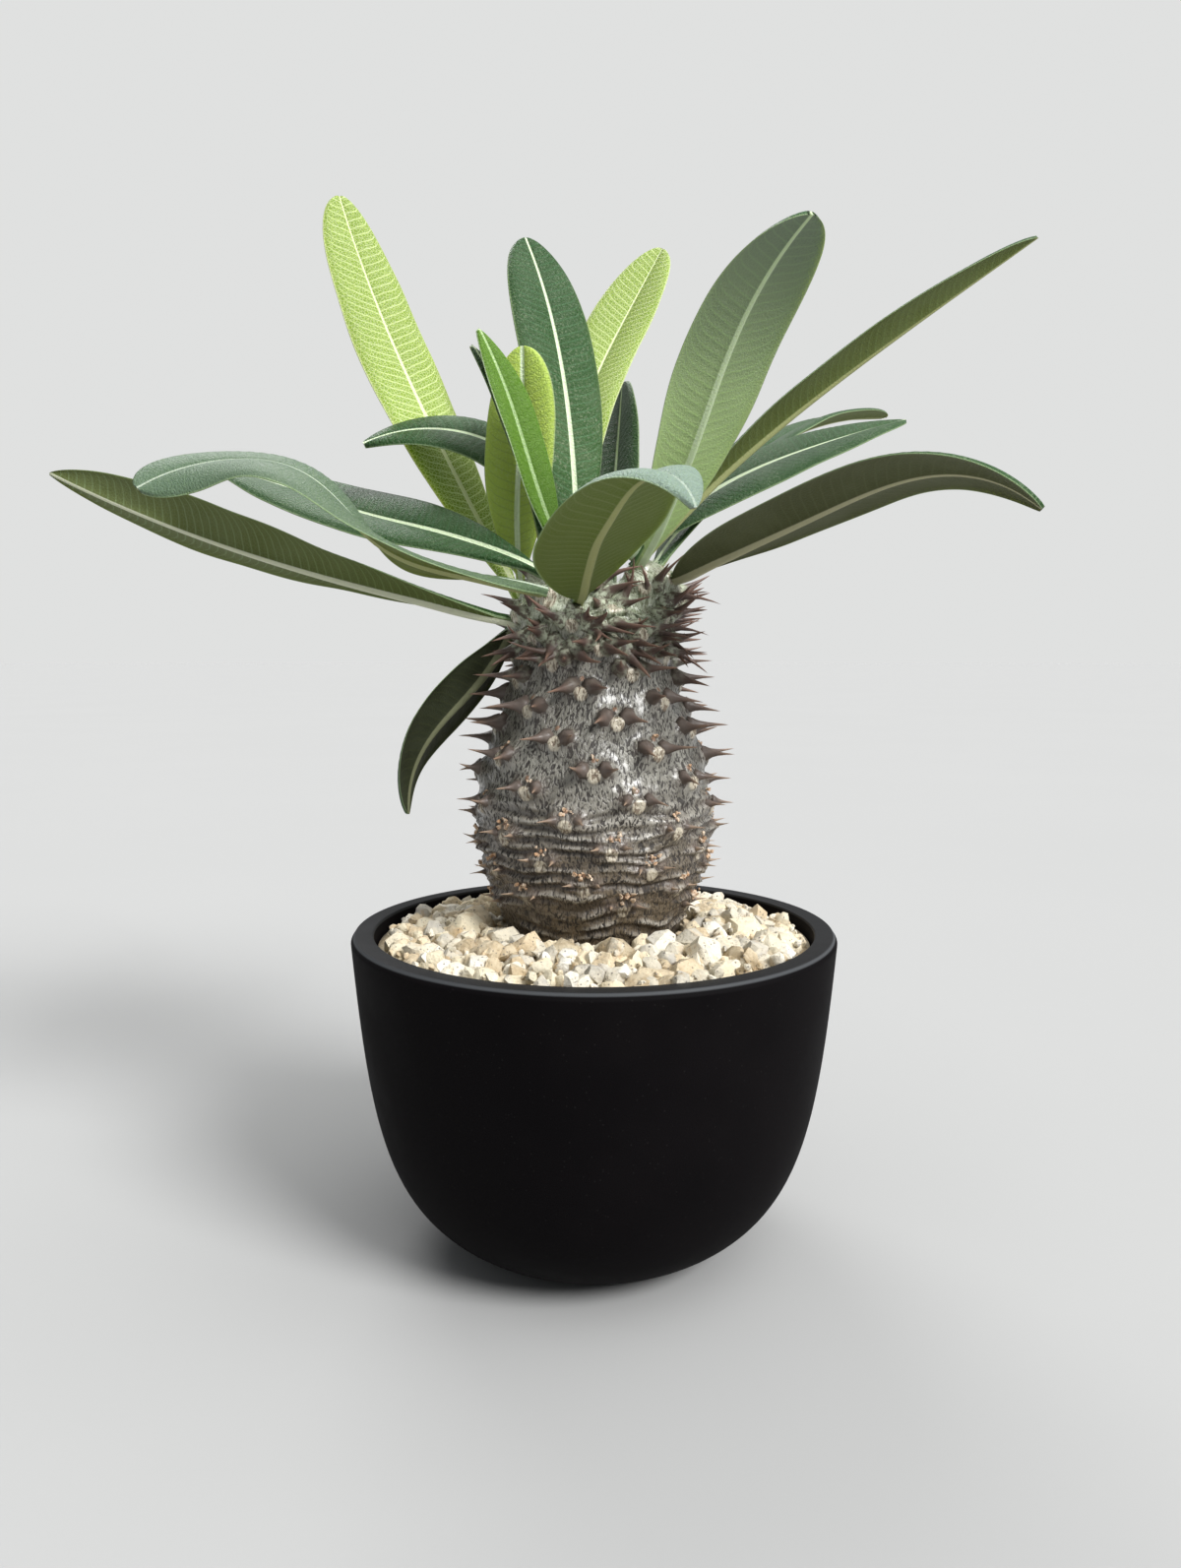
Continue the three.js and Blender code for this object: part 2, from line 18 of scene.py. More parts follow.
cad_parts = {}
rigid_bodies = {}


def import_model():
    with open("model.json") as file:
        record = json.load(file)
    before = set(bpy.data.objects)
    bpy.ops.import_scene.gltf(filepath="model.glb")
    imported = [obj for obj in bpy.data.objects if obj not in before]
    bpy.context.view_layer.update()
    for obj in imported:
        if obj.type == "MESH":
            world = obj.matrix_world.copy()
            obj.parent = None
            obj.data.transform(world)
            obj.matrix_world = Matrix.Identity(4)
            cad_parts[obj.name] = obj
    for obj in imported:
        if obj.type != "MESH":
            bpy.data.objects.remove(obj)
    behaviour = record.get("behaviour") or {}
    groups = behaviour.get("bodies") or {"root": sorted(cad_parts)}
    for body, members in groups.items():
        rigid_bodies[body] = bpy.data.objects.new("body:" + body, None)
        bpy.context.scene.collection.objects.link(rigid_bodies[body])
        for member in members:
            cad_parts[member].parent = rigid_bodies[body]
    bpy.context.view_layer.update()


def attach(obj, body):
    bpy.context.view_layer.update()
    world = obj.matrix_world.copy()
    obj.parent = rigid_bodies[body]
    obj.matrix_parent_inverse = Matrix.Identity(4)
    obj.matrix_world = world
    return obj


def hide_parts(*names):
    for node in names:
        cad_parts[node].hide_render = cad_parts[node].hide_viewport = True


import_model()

MM = 0.001

# %% [markdown]
# ## The camera
# The picture was taken by a phone-like wide lens, close to the plant and looking slightly down on it. A camera
# can be placed by eye, or worked out from what is known: here the rim's ellipse and the pot's outline gave its
# place, its tilt and its focal length, so those numbers are simply entered.

# %% Camera
PICTURE_HEIGHT = 1593  # pixels
FOCAL_PIXELS = 1150
SENSOR = 36
CAMERA_PLACE = (-0.8, -256.3, 134.1)
CAMERA_TILT = 6.22  # degrees below the level


def link(thing):
    bpy.context.scene.collection.objects.link(thing)
    return thing


lens = bpy.data.cameras.new("camera")
lens.sensor_fit = "AUTO"
lens.sensor_width = SENSOR
lens.lens = FOCAL_PIXELS / PICTURE_HEIGHT * SENSOR
lens.clip_start = 0.01
camera = link(bpy.data.objects.new("camera", lens))
camera.location = Vector(CAMERA_PLACE) * MM
camera.rotation_euler = (math.radians(90 - CAMERA_TILT), 0, 0)
bpy.context.scene.camera = camera
print("lens", round(lens.lens, 2), "mm")

# %% [markdown]
# ## Helpers for finishes
# A finish in Blender is a graph of nodes. Wiring it by hand in a script is long-winded, so a few small
# helpers place a node, feed it with numbers or with other nodes' outputs, and hand back its output. They work
# in shader trees and in Geometry Nodes trees alike. An output knows its own tree, so a helper that is given
# one needs to be told no more.

# %% Helpers for node trees
def home(*values):
    """The tree that the outputs among these values belong to"""
    return next(value.id_data for value in values if isinstance(value, bpy.types.NodeSocket))


def feed(socket, value):
    """Links an output to a socket, or sets the socket to a number or colour"""
    if isinstance(value, bpy.types.NodeSocket):
        home(value).links.new(value, socket)
    elif value is not None:
        socket.default_value = value


def supply(made, **inputs):
    for name, value in inputs.items():
        feed(made.inputs[name.replace("_", " ")], value)


def in_turn(made, values, first=0):
    """Feeds a node's sockets in their own order, from a first one on"""
    for socket, value in zip(made.inputs[first:], values):
        feed(socket, value)
    return made.outputs


def node(tree, kind, settings=None, **inputs):
    made = tree.nodes.new(kind)
    for name, value in (settings or {}).items():
        setattr(made, name, value)
    supply(made, **inputs)
    return made


def calc(operation, *values):
    return in_turn(node(home(*values), "ShaderNodeMath", {"operation": operation}), values)[0]


def times(a, b):
    return calc("MULTIPLY", a, b)


def plus(a, b):
    return calc("ADD", a, b)


def minus(a, b):
    return calc("SUBTRACT", a, b)


def between(value, low, high, start=0.0, end=1.0):
    """Turns low..high smoothly into start..end"""
    made = node(home(value), "ShaderNodeMapRange", {"interpolation_type": "SMOOTHSTEP"})
    return in_turn(made, (value, low, high, start, end))[0]


def blended(share, first, second, kind="MIX"):
    made = node(home(share, first, second), "ShaderNodeMix", {"data_type": "RGBA", "blend_type": kind})
    feed(made.inputs[0], share)
    colours = [(*tone, 1) if isinstance(tone, tuple) else tone for tone in (first, second)]
    return in_turn(made, colours, 6)[2]


def over(base, mask, share, colour):
    """Lays a colour over another where a mask says so, and at most by a share"""
    return blended(times(mask, share), base, colour)


def grain(place, scale, detail=4.0, roughness=0.55, distortion=0.0):
    return node(home(place), "ShaderNodeTexNoise", Vector=place, Scale=scale, Detail=detail,
                Roughness=roughness, Distortion=distortion).outputs[0]


def part(vector, axis):
    return node(home(vector), "ShaderNodeSeparateXYZ", Vector=vector).outputs[axis]


def off_axis(place):
    """How far a place lies from the upright axis"""
    return calc("SQRT", plus(*(calc("POWER", part(place, axis), 2.0) for axis in "XY")))


def finish(name):
    """A new material with its shader and the piece's own coordinates"""
    material = bpy.data.materials.new(name)
    material.use_nodes = True
    tree = material.node_tree
    return material, tree.nodes["Principled BSDF"], node(tree, "ShaderNodeTexCoord").outputs["Object"]


def attribute(shader, name, kind="Fac"):
    return node(shader.id_data, "ShaderNodeAttribute", {"attribute_name": name}).outputs[kind]


def bumped(shader, relief, strength, depth):
    bump = node(home(relief), "ShaderNodeBump", Height=relief, Strength=strength, Distance=depth)
    feed(shader.inputs["Normal"], bump.outputs[0])


# %% [markdown]
# ## A shared effect: patches and specks
# Fired clay, stone, soil and bark all vary in two scales: broad patches and small specks. One node group
# makes both from the piece's own coordinates, so each finish only says how large and how strong they are.


# %% Node group: patches and specks
def empty_group(name, place, inputs, outputs):
    """A shader group that reads a place and numbers and puts out numbers, with its two ends"""
    group = bpy.data.node_groups.new(name, "ShaderNodeTree")
    group.interface.new_socket(place, in_out="INPUT", socket_type="NodeSocketVector")
    for socket, value in inputs.items():
        group.interface.new_socket(socket, in_out="INPUT", socket_type="NodeSocketFloat").default_value = value
    for socket in outputs:
        group.interface.new_socket(socket, in_out="OUTPUT", socket_type="NodeSocketFloat")
    return group, group.nodes.new("NodeGroupInput").outputs, group.nodes.new("NodeGroupOutput").inputs


def make_patches():
    sizes = {"Patch Scale": 60.0, "Speck Scale": 900.0, "Speck Share": 0.3}
    group, given, result = empty_group("patches_and_specks", "Place", sizes, ("Patches", "Specks", "Grain"))
    cells = node(group, "ShaderNodeTexVoronoi", Vector=given["Place"], Scale=given["Speck Scale"]).outputs
    pick = node(group, "ShaderNodeSeparateColor", Color=cells["Color"]).outputs[0]
    chosen = calc("LESS_THAN", pick, given["Speck Share"])
    feed(result["Patches"], between(grain(given["Place"], given["Patch Scale"], 3.0, 0.6), 0.3, 0.7))
    feed(result["Specks"], times(chosen, between(cells["Distance"], 0.45, 0.2)))
    feed(result["Grain"], grain(given["Place"], given["Speck Scale"], 5.0, 0.7))
    return group


patches_group = make_patches()


def patches_and_specks(place, patch_scale, speck_scale, speck_share):
    return node(home(place), "ShaderNodeGroup", {"node_tree": patches_group}, Place=place,
                Patch_Scale=patch_scale, Speck_Scale=speck_scale, Speck_Share=speck_share).outputs


print("group:", patches_group.name)

# %% [markdown]
# ## Light and floor
# The studio light is soft: a broad light from above, a smaller one on the right that puts the silver on the
# bark, and a glow from behind that shines through the thin leaves. Area lights would do, but they end at their
# own plane and leave an edge on the floor, so each light is a sun with a wide disc, which gives shadows just as
# soft. The world lights the rest evenly. It looks brighter to the camera than it shines on the plant, so that
# the dark pot keeps its depth, and it has the floor's own tone, so that the floor has no visible end.

# %% Light and floor
def far_light(name, towards, power, spread):
    """Even light from far away, which reaches all of the floor"""
    data = bpy.data.lights.new(name, "SUN")
    data.energy = power
    data.angle = math.radians(spread)
    light = link(bpy.data.objects.new(name, data))
    light.rotation_euler = Vector(towards).to_track_quat("Z", "Y").to_euler()


far_light("overhead", (0.32, -0.18, 1.0), 2.3, 75)
far_light("back_glow", (-0.40, 1.0, 1.15), 1.1, 30)
far_light("side_light", (0.60, -0.60, 0.64), 4.0, 22)

world = bpy.data.worlds.new("pale_surround")
bpy.context.scene.world = world
world.use_nodes = True
sky = world.node_tree
sky.nodes.clear()
seen = node(sky, "ShaderNodeBackground", Color=(0.744, 0.751, 0.745, 1)).outputs[0]
shine = node(sky, "ShaderNodeBackground", Color=(0.92, 0.96, 1.0, 1), Strength=0.28).outputs[0]
by_camera = node(sky, "ShaderNodeLightPath").outputs["Is Camera Ray"]
either = in_turn(node(sky, "ShaderNodeMixShader"), (by_camera, shine, seen))[0]
feed(node(sky, "ShaderNodeOutputWorld").inputs[0], either)
bpy.context.scene.view_settings.view_transform = "Standard"

FLOOR_RADIUS, FLOOR_STEPS = 60.0, 64  # metres
turns = [2 * math.pi * i / FLOOR_STEPS for i in range(FLOOR_STEPS)]
floor_mesh = bpy.data.meshes.new("floor")
floor_mesh.from_pydata([(FLOOR_RADIUS * math.cos(t), FLOOR_RADIUS * math.sin(t), 0) for t in turns], [],
                       [list(range(FLOOR_STEPS))])
floor = link(bpy.data.objects.new("floor", floor_mesh))

floor_material, shader, place = finish("pale_floor")
floor_tone = blended(grain(place, 3.0), (0.371, 0.372, 0.368), (0.384, 0.384, 0.380))
supply(shader, Base_Color=floor_tone, Roughness=0.9, Specular_IOR_Level=0.0)
floor.data.materials.append(floor_material)

# %% [markdown]
# ## The pot
# The pot is one turned bowl of black clay: a narrow foot, a side that swells quickly, a flat rim with a small
# bevel outside, and a rounded hollow. Anything turned can be made by drawing half of its outline once and
# spinning it. The side is a Bezier curve, and each hard corner is eased a little, because a real edge always
# catches a thin line of light.


# %% Turning an outline
def bezier(a, b, c, d, steps):
    t = np.linspace(0, 1, steps + 1)[:, None]
    a, b, c, d = (np.array(p, float) for p in (a, b, c, d))
    return (1 - t) ** 3 * a + 3 * (1 - t) ** 2 * t * b + 3 * (1 - t) * t ** 2 * c + t ** 3 * d


def eased(before, corner, after, size, steps=4):
    """A corner of an outline, rounded off"""
    before, corner, after = (np.array(p, float) for p in (before, corner, after))
    start = corner + (before - corner) / np.linalg.norm(before - corner) * size
    end = corner + (after - corner) / np.linalg.norm(after - corner) * size
    t = np.linspace(0, 1, steps + 1)[:, None]
    return (1 - t) ** 2 * start + 2 * (1 - t) * t * corner + t ** 2 * end


def smooth_mesh(name, form):
    """A built form as a mesh, its faces turned outwards"""
    bmesh.ops.recalc_face_normals(form, faces=form.faces)
    mesh = bpy.data.meshes.new(name)
    form.to_mesh(mesh)
    form.free()
    mesh.shade_smooth()
    return mesh


def skinned(name, rings, looped=False, capped=False):
    """A mesh over rings of points, where a ring of one point is a pole"""
    form = bmesh.new()
    rows = [[form.verts.new(point) for point in ring] for ring in rings]
    for low, high in zip(rows, rows[1:] + (rows[:1] if looped else [])):
        steps = max(len(low), len(high))
        for i in range(steps):
            j = (i + 1) % steps
            corners = (low[i % len(low)], low[j % len(low)], high[j % len(high)], high[i % len(high)])
            form.faces.new(list(dict.fromkeys(corners)))
    if capped:
        form.faces.new(rows[0][::-1])
    return smooth_mesh(name, form)


def turned(name, outline, steps, looped=False):
    """Spins [radius, height] points into a closed piece"""
    turns = [2 * math.pi * i / steps for i in range(steps)]
    rings = [[(radius * MM * math.cos(t), radius * MM * math.sin(t), height * MM)
              for t in (turns if radius > 1e-6 else turns[:1])] for radius, height in outline]
    return link(bpy.data.objects.new(name, skinned(name, rings, looped)))


# %% Pot outline and drain holes
POT_HEIGHT = 73.5
RIM_RADIUS, RIM_INNER, FOOT_RADIUS = 55.0, 50.0, 23.7
BEVEL_WIDTH, BEVEL_HEIGHT = 0.9, 1.4
POT_FLOOR = 6.0
DRAIN_HOLES, DRAIN_HOLE_RADIUS, DRAIN_CIRCLE = 3, 3.5, 12.0

side = bezier((FOOT_RADIUS, 0), (47.4, 9.8), (51.1, 24.2), (RIM_RADIUS, POT_HEIGHT - BEVEL_HEIGHT), 56)
hollow = bezier((RIM_INNER, POT_HEIGHT), (46.5, 26), (42.5, 14), (22, POT_FLOOR), 40)
bevel_low, bevel_high = side[-1], (RIM_RADIUS - BEVEL_WIDTH, POT_HEIGHT)
pot_outline = [(0, 0), (FOOT_RADIUS - 4, 0)]
pot_outline += list(eased((0, 0), side[0], side[2], 0.8))
pot_outline += list(side[3:-1])
pot_outline += list(eased(side[-2], bevel_low, bevel_high, 0.25))
pot_outline += list(eased(bevel_low, bevel_high, hollow[0], 0.25))
pot_outline += list(eased(bevel_high, hollow[0], hollow[1], 0.5))
pot_outline += list(hollow[1:]) + [(0, POT_FLOOR)]
pot = turned("bowl", pot_outline, 176)


def drilled(piece, drill):
    """Cuts one closed piece out of another for good"""
    cut = piece.modifiers.new("cut", "BOOLEAN")
    cut.operation = "DIFFERENCE"
    cut.solver = "EXACT"
    cut.object = drill
    graph = bpy.context.evaluated_depsgraph_get()
    piece.data = bpy.data.meshes.new_from_object(piece.evaluated_get(graph))
    piece.modifiers.clear()
    bpy.data.objects.remove(drill)


for i in range(DRAIN_HOLES):
    turn = 2 * math.pi * i / DRAIN_HOLES
    drill = turned("drill", [(0, -4), (DRAIN_HOLE_RADIUS, -4), (DRAIN_HOLE_RADIUS, 12), (0, 12)], 32)
    aside = Vector((math.cos(turn), math.sin(turn), 0)) * DRAIN_CIRCLE * MM
    for vertex in drill.data.vertices:
        vertex.co += aside
    drilled(pot, drill)
pot.data.name = "bowl"
print("pot faces:", len(pot.data.polygons))

# %% [markdown]
# ## Pot finish
# Matte black clay isn't plain black: it is a very dark warm grey with a fine tooth that scatters light, rare
# paler specks where sand lies in the clay, and a slightly smoother rim that hands have polished. The rim's flat
# top is painted lighter as painted light, and its outer bevel paler still as a painted highlight. The tooth is
# a bump, the specks and patches come from the shared group.

# %% Pot finish
glaze, shader, place = finish("black_clay")
marks = patches_and_specks(place, 45.0, 1900.0, 0.03)
body = blended(marks["Patches"], (0.0021, 0.0016, 0.0020), (0.0034, 0.0027, 0.0031))
body = over(body, marks["Specks"], 0.10, (0.05, 0.048, 0.045))
rim = between(part(place, "Z"), 0.0727, 0.0731)
# painted light: the rim's flat top is painted lighter, and its outer bevel paler still as a painted highlight
body = over(body, rim, 0.9, (0.022, 0.022, 0.0225))
bevel = times(rim, between(off_axis(place), 0.0539, 0.0543))
body = over(body, bevel, 0.6, (0.085, 0.09, 0.096))
rough = minus(between(marks["Patches"], 0, 1, 0.68, 0.76), times(rim, 0.25))
supply(shader, Base_Color=body, Roughness=rough, Specular_IOR_Level=0.05)
bumped(shader, grain(place, 2600.0, 3.0, 0.6), 0.35, 0.00012)
pot.data.materials.append(glaze)
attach(pot, "root")
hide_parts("pot")

# %% [markdown]
# ## Drain mesh and soil
# Both are plain things that hardly show: a plastic mesh over the drain holes, and dark potting soil with
# lighter crumbs under the gravel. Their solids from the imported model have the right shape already, so they
# only get a finish.

# %% Drain mesh and soil finishes
mesh_plastic, shader, place = finish("mesh_plastic")
marks = patches_and_specks(place, 300.0, 2500.0, 0.1)
plastic_tone = blended(marks["Patches"], (0.025, 0.026, 0.025), (0.045, 0.045, 0.043))
supply(shader, Base_Color=plastic_tone, Roughness=0.6)
bumped(shader, marks["Grain"], 0.3, 0.0001)

loam, shader, place = finish("dark_loam")
marks = patches_and_specks(place, 250.0, 420.0, 0.22)
earth = blended(marks["Patches"], (0.022, 0.014, 0.009), (0.06, 0.042, 0.028))
supply(shader, Base_Color=blended(marks["Specks"], earth, (0.24, 0.19, 0.12)), Roughness=0.95)
bumped(shader, plus(marks["Grain"], marks["Specks"]), 0.8, 0.0007)

for node_name, material in (("drain_mesh", mesh_plastic), ("soil", loam)):
    solid = bpy.data.objects[node_name]
    solid.data.materials.clear()
    solid.data.materials.append(material)
print("dressed:", mesh_plastic.name, loam.name)

# %% [markdown]
# ## Gravel
# The pot is topped with angular pumice: cream, tan and grey stones of 3 to 10 mm with grit between them,
# heaped a little higher towards the trunk. Placing hundreds of stones by hand is hopeless, and copies of one
# stone look like copies. So a few stones are cut from jittered balls, and Geometry Nodes scatter them over a
# turned bed, each with its own turn, size and tone.

# %% The bed under the stones
SOIL_TOP, GAP = 66.0, 0.3
BED_AT_WALL, BED_AT_TRUNK = 70.3, 72.6
BED_INNER = 20.2
BED_STEPS, BED_RINGS = 120, 16


def smooth(value, low, high):
    t = np.clip((np.asarray(value, float) - low) / (high - low), 0, 1)
    return t * t * (3 - 2 * t)


def mix(a, b, t):
    return a + (b - a) * t


def bed_height(radius):
    return float(mix(BED_AT_TRUNK, BED_AT_WALL, smooth(radius, BED_INNER, RIM_INNER - 1)))


bed_outline = [(BED_INNER, SOIL_TOP + GAP), (RIM_INNER - 1.6, SOIL_TOP + GAP)]
bed_outline += [(r, bed_height(r)) for r in np.linspace(BED_INNER, RIM_INNER - 0.9, BED_RINGS)[::-1]]
bed = turned("gravel_bed", bed_outline, BED_STEPS, looped=True)
print("bed faces:", len(bed.data.polygons))

# %% Stones to scatter
STONE_KINDS, STONE_POINTS = 9, 25
random = np.random.default_rng(11)


def stone_mesh(name, points):
    """An angular stone about 2 units wide: the hull of points on a jittered ball"""
    form = bmesh.new()
    for _ in range(points):
        way = Vector(random.normal(size=3)).normalized()
        form.verts.new(way * random.uniform(0.86, 1.10))
    bmesh.ops.convex_hull(form, input=form.verts)
    loose = [v for v in form.verts if not v.link_faces]
    bmesh.ops.delete(form, geom=loose, context="VERTS")
    mesh = smooth_mesh(name, form)
    mesh.set_sharp_from_angle(angle=math.radians(38))
    return mesh


def boxed(name, meshes):
    """A collection of shapes for a tree to choose from"""
    box = bpy.data.collections.new(name)
    for mesh in meshes:
        box.objects.link(bpy.data.objects.new(mesh.name, mesh))
    return box


def discard(box):
    for item in list(box.objects):
        bpy.data.objects.remove(item)
    bpy.data.collections.remove(box)


stone_box = boxed("stones", [stone_mesh(f"stone_{i}", STONE_POINTS) for i in range(STONE_KINDS)])

# %% Gravel finish
pumice, shader, place = finish("pumice")
marks = patches_and_specks(place, 420.0, 1500.0, 0.16)
ramp = node(shader.id_data, "ShaderNodeValToRGB", Fac=attribute(shader, "tone"))
stops = ramp.color_ramp.elements
stops[0].color = (0.36, 0.28, 0.17, 1)
stops[1].color = (0.80, 0.77, 0.69, 1)
for position, colour in ((0.22, (0.60, 0.47, 0.30, 1)), (0.45, (0.74, 0.66, 0.48, 1)),
                         (0.65, (0.42, 0.40, 0.36, 1)), (0.8, (0.76, 0.70, 0.57, 1))):
    stops.new(position).color = colour
rust = between(grain(place, 260.0, 3.0, 0.6), 0.55, 0.72)
# small spots where the stone is darkened to brown
dark_brown_spots = between(grain(place, 1400.0, 3.0, 0.65), 0.40, 0.30)
stone = over(ramp.outputs[0], marks["Patches"], 0.45, (0.80, 0.72, 0.54))
stone = over(stone, rust, 0.50, (0.50, 0.32, 0.14))
stone = over(stone, marks["Specks"], 0.80, (0.12, 0.11, 0.105))
stone = over(stone, dark_brown_spots, 0.6, (0.20, 0.15, 0.09))
supply(shader, Base_Color=stone, Roughness=0.92)
bumped(shader, plus(marks["Grain"], times(grain(place, 500.0, 4.0, 0.6), 2.0)), 0.9, 0.0004)


# %% Geometry Nodes: what the trees share
def empty_tree(name, **kinds):
    """A Geometry Nodes tree with named inputs, and its two ends"""
    tree = bpy.data.node_groups.new(name, "GeometryNodeTree")
    inputs = {"Geometry": "Geometry"} | kinds | {"Seed": "Int", "Kinds": "Collection", "Finish": "Material"}
    for socket, kind in inputs.items():
        tree.interface.new_socket(socket, in_out="INPUT", socket_type="NodeSocket" + kind)
    tree.interface.new_socket("Geometry", in_out="OUTPUT", socket_type="NodeSocketGeometry")
    return tree, tree.nodes.new("NodeGroupInput").outputs, tree.nodes.new("NodeGroupOutput").inputs


def named(tree, name, kind="FLOAT"):
    return node(tree, "GeometryNodeInputNamedAttribute", {"data_type": kind}, Name=name).outputs[0]


def chance(low, high, seed, salt, kind="FLOAT"):
    """A random value for each element, from low to high"""
    made = node(home(seed), "FunctionNodeRandomValue", {"data_type": kind}, Seed=plus(seed, salt))
    first = {"FLOAT_VECTOR": 0, "FLOAT": 2}[kind]
    return in_turn(made, (low, high), first)[first // 2]


def standing(vector):
    """The turn that stands a shape along a vector"""
    return node(home(vector), "FunctionNodeAlignRotationToVector", {"axis": "Z"}, Vector=vector).outputs[0]


def lay(given, result, points, turn, scale, index=None, tone=None):
    """Sets one of the kinds on each point, makes the copies real and gives them their finish"""
    tree = home(points)
    kinds = node(tree, "GeometryNodeCollectionInfo", Collection=given["Kinds"], Separate_Children=True,
                 Reset_Children=True).outputs[0]
    laid = node(tree, "GeometryNodeInstanceOnPoints", Points=points, Instance=kinds, Rotation=turn, Scale=scale,
                Pick_Instance=True, Instance_Index=index).outputs[0]
    if tone is not None:
        laid = node(tree, "GeometryNodeStoreNamedAttribute", {"data_type": "FLOAT", "domain": "INSTANCE"},
                    Geometry=laid, Name="tone", Value=tone).outputs[0]
    real = node(tree, "GeometryNodeRealizeInstances", Geometry=laid).outputs[0]
    coated = node(tree, "GeometryNodeSetMaterial", Geometry=real, Material=given["Finish"])
    feed(result["Geometry"], coated.outputs[0])
    return tree


def grown(name, ground, tree, sizes):
    """Runs a tree on a copy of a ground mesh and hands back the result as a plain piece"""
    piece = link(bpy.data.objects.new(name, ground.copy()))
    modifier = piece.modifiers.new(tree.name, "NODES")
    modifier.node_group = tree
    for item in tree.interface.items_tree:
        if item.item_type == "SOCKET" and item.in_out == "INPUT" and item.name in sizes:
            modifier[item.identifier] = sizes[item.name]
    bpy.context.view_layer.update()
    graph = bpy.context.evaluated_depsgraph_get()
    piece.data = bpy.data.meshes.new_from_object(piece.evaluated_get(graph), depsgraph=graph)
    piece.data.name = name
    piece.modifiers.clear()
    return piece


# %% Geometry Nodes: scatter stones
def stone_tree():
    tree, given, result = empty_tree("scatter_stones", Spacing="Float", Smallest="Float", Largest="Float",
                                     Lift="Float", Wall="Float", Trunk="Float")
    seed = given["Seed"]
    radius = off_axis(node(tree, "GeometryNodeInputPosition").outputs[0])
    top = calc("GREATER_THAN", part(node(tree, "GeometryNodeInputNormal").outputs[0], "Z"), 0.5)
    room = times(calc("LESS_THAN", radius, given["Wall"]), calc("GREATER_THAN", radius, given["Trunk"]))
    scatter = node(tree, "GeometryNodeDistributePointsOnFaces", {"distribute_method": "POISSON"},
                   Mesh=given["Geometry"], Selection=times(top, room), Distance_Min=given["Spacing"],
                   Density_Max=4e6, Seed=seed)
    up = node(tree, "ShaderNodeCombineXYZ", Z=chance(times(given["Lift"], 0.2), given["Lift"], seed, 1))
    raised = node(tree, "GeometryNodeSetPosition", Geometry=scatter.outputs["Points"], Offset=up.outputs[0])
    tumble = chance((-1.3, -1.3, 0), (1.3, 1.3, 6.28), seed, 2, "FLOAT_VECTOR")
    turn = node(tree, "FunctionNodeEulerToRotation", Euler=tumble).outputs[0]
    size = chance(given["Smallest"], given["Largest"], seed, 3)
    shape = chance((0.88, 0.82, 0.70), (1.28, 1.05, 0.95), seed, 4, "FLOAT_VECTOR")
    scale = node(tree, "ShaderNodeVectorMath", {"operation": "SCALE"}, Vector=shape, Scale=size).outputs[0]
    return lay(given, result, raised.outputs[0], turn, scale, tone=chance(0.0, 1.0, seed, 5))


# %% Lay the gravel
scatter_stones = stone_tree()
layers = []
for name, spacing, smallest, largest, lift, wall, trunk, seed in (
        ("stones_low", 5.0, 2.8, 3.8, 0.8, 46.6, 23.5, 3),
        ("stones_high", 7.3, 3.5, 4.9, 2.6, 45.0, 25.6, 8),
        ("stones_small", 5.0, 1.5, 2.5, 3.0, 47.4, 22.8, 6),
        ("grit", 3.2, 0.6, 1.1, 2.6, 48.4, 22.0, 5)):
    layers.append(grown(name, bed.data, scatter_stones, {
        "Spacing": spacing * MM, "Smallest": smallest * MM, "Largest": largest * MM, "Lift": lift * MM,
        "Wall": wall * MM, "Trunk": trunk * MM, "Seed": seed, "Kinds": stone_box, "Finish": pumice}))
    print(name, "faces:", len(layers[-1].data.polygons))
bed.data.materials.append(pumice)
pieces = [bed, *layers]
with bpy.context.temp_override(active_object=bed, selected_editable_objects=pieces, selected_objects=pieces):
    bpy.ops.object.join()
gravel = bed
gravel.data.name = "gravel_bed"
discard(stone_box)
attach(gravel, "root")
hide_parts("gravel")
print("gravel faces:", len(gravel.data.polygons), "materials:", len(gravel.data.materials))

# %% [markdown]
# ## Leaves
# Each leaf is a long blade that hangs on its midrib. The midrib is walked step by step: its heading, its rise
# and its roll change smoothly from the base to the tip. Ribs across it then carry the two faces, which meet in
# a thin margin. The midrib is a shallow groove above and a strong ridge below. A sculpted leaf would look as
# good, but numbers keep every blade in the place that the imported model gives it.

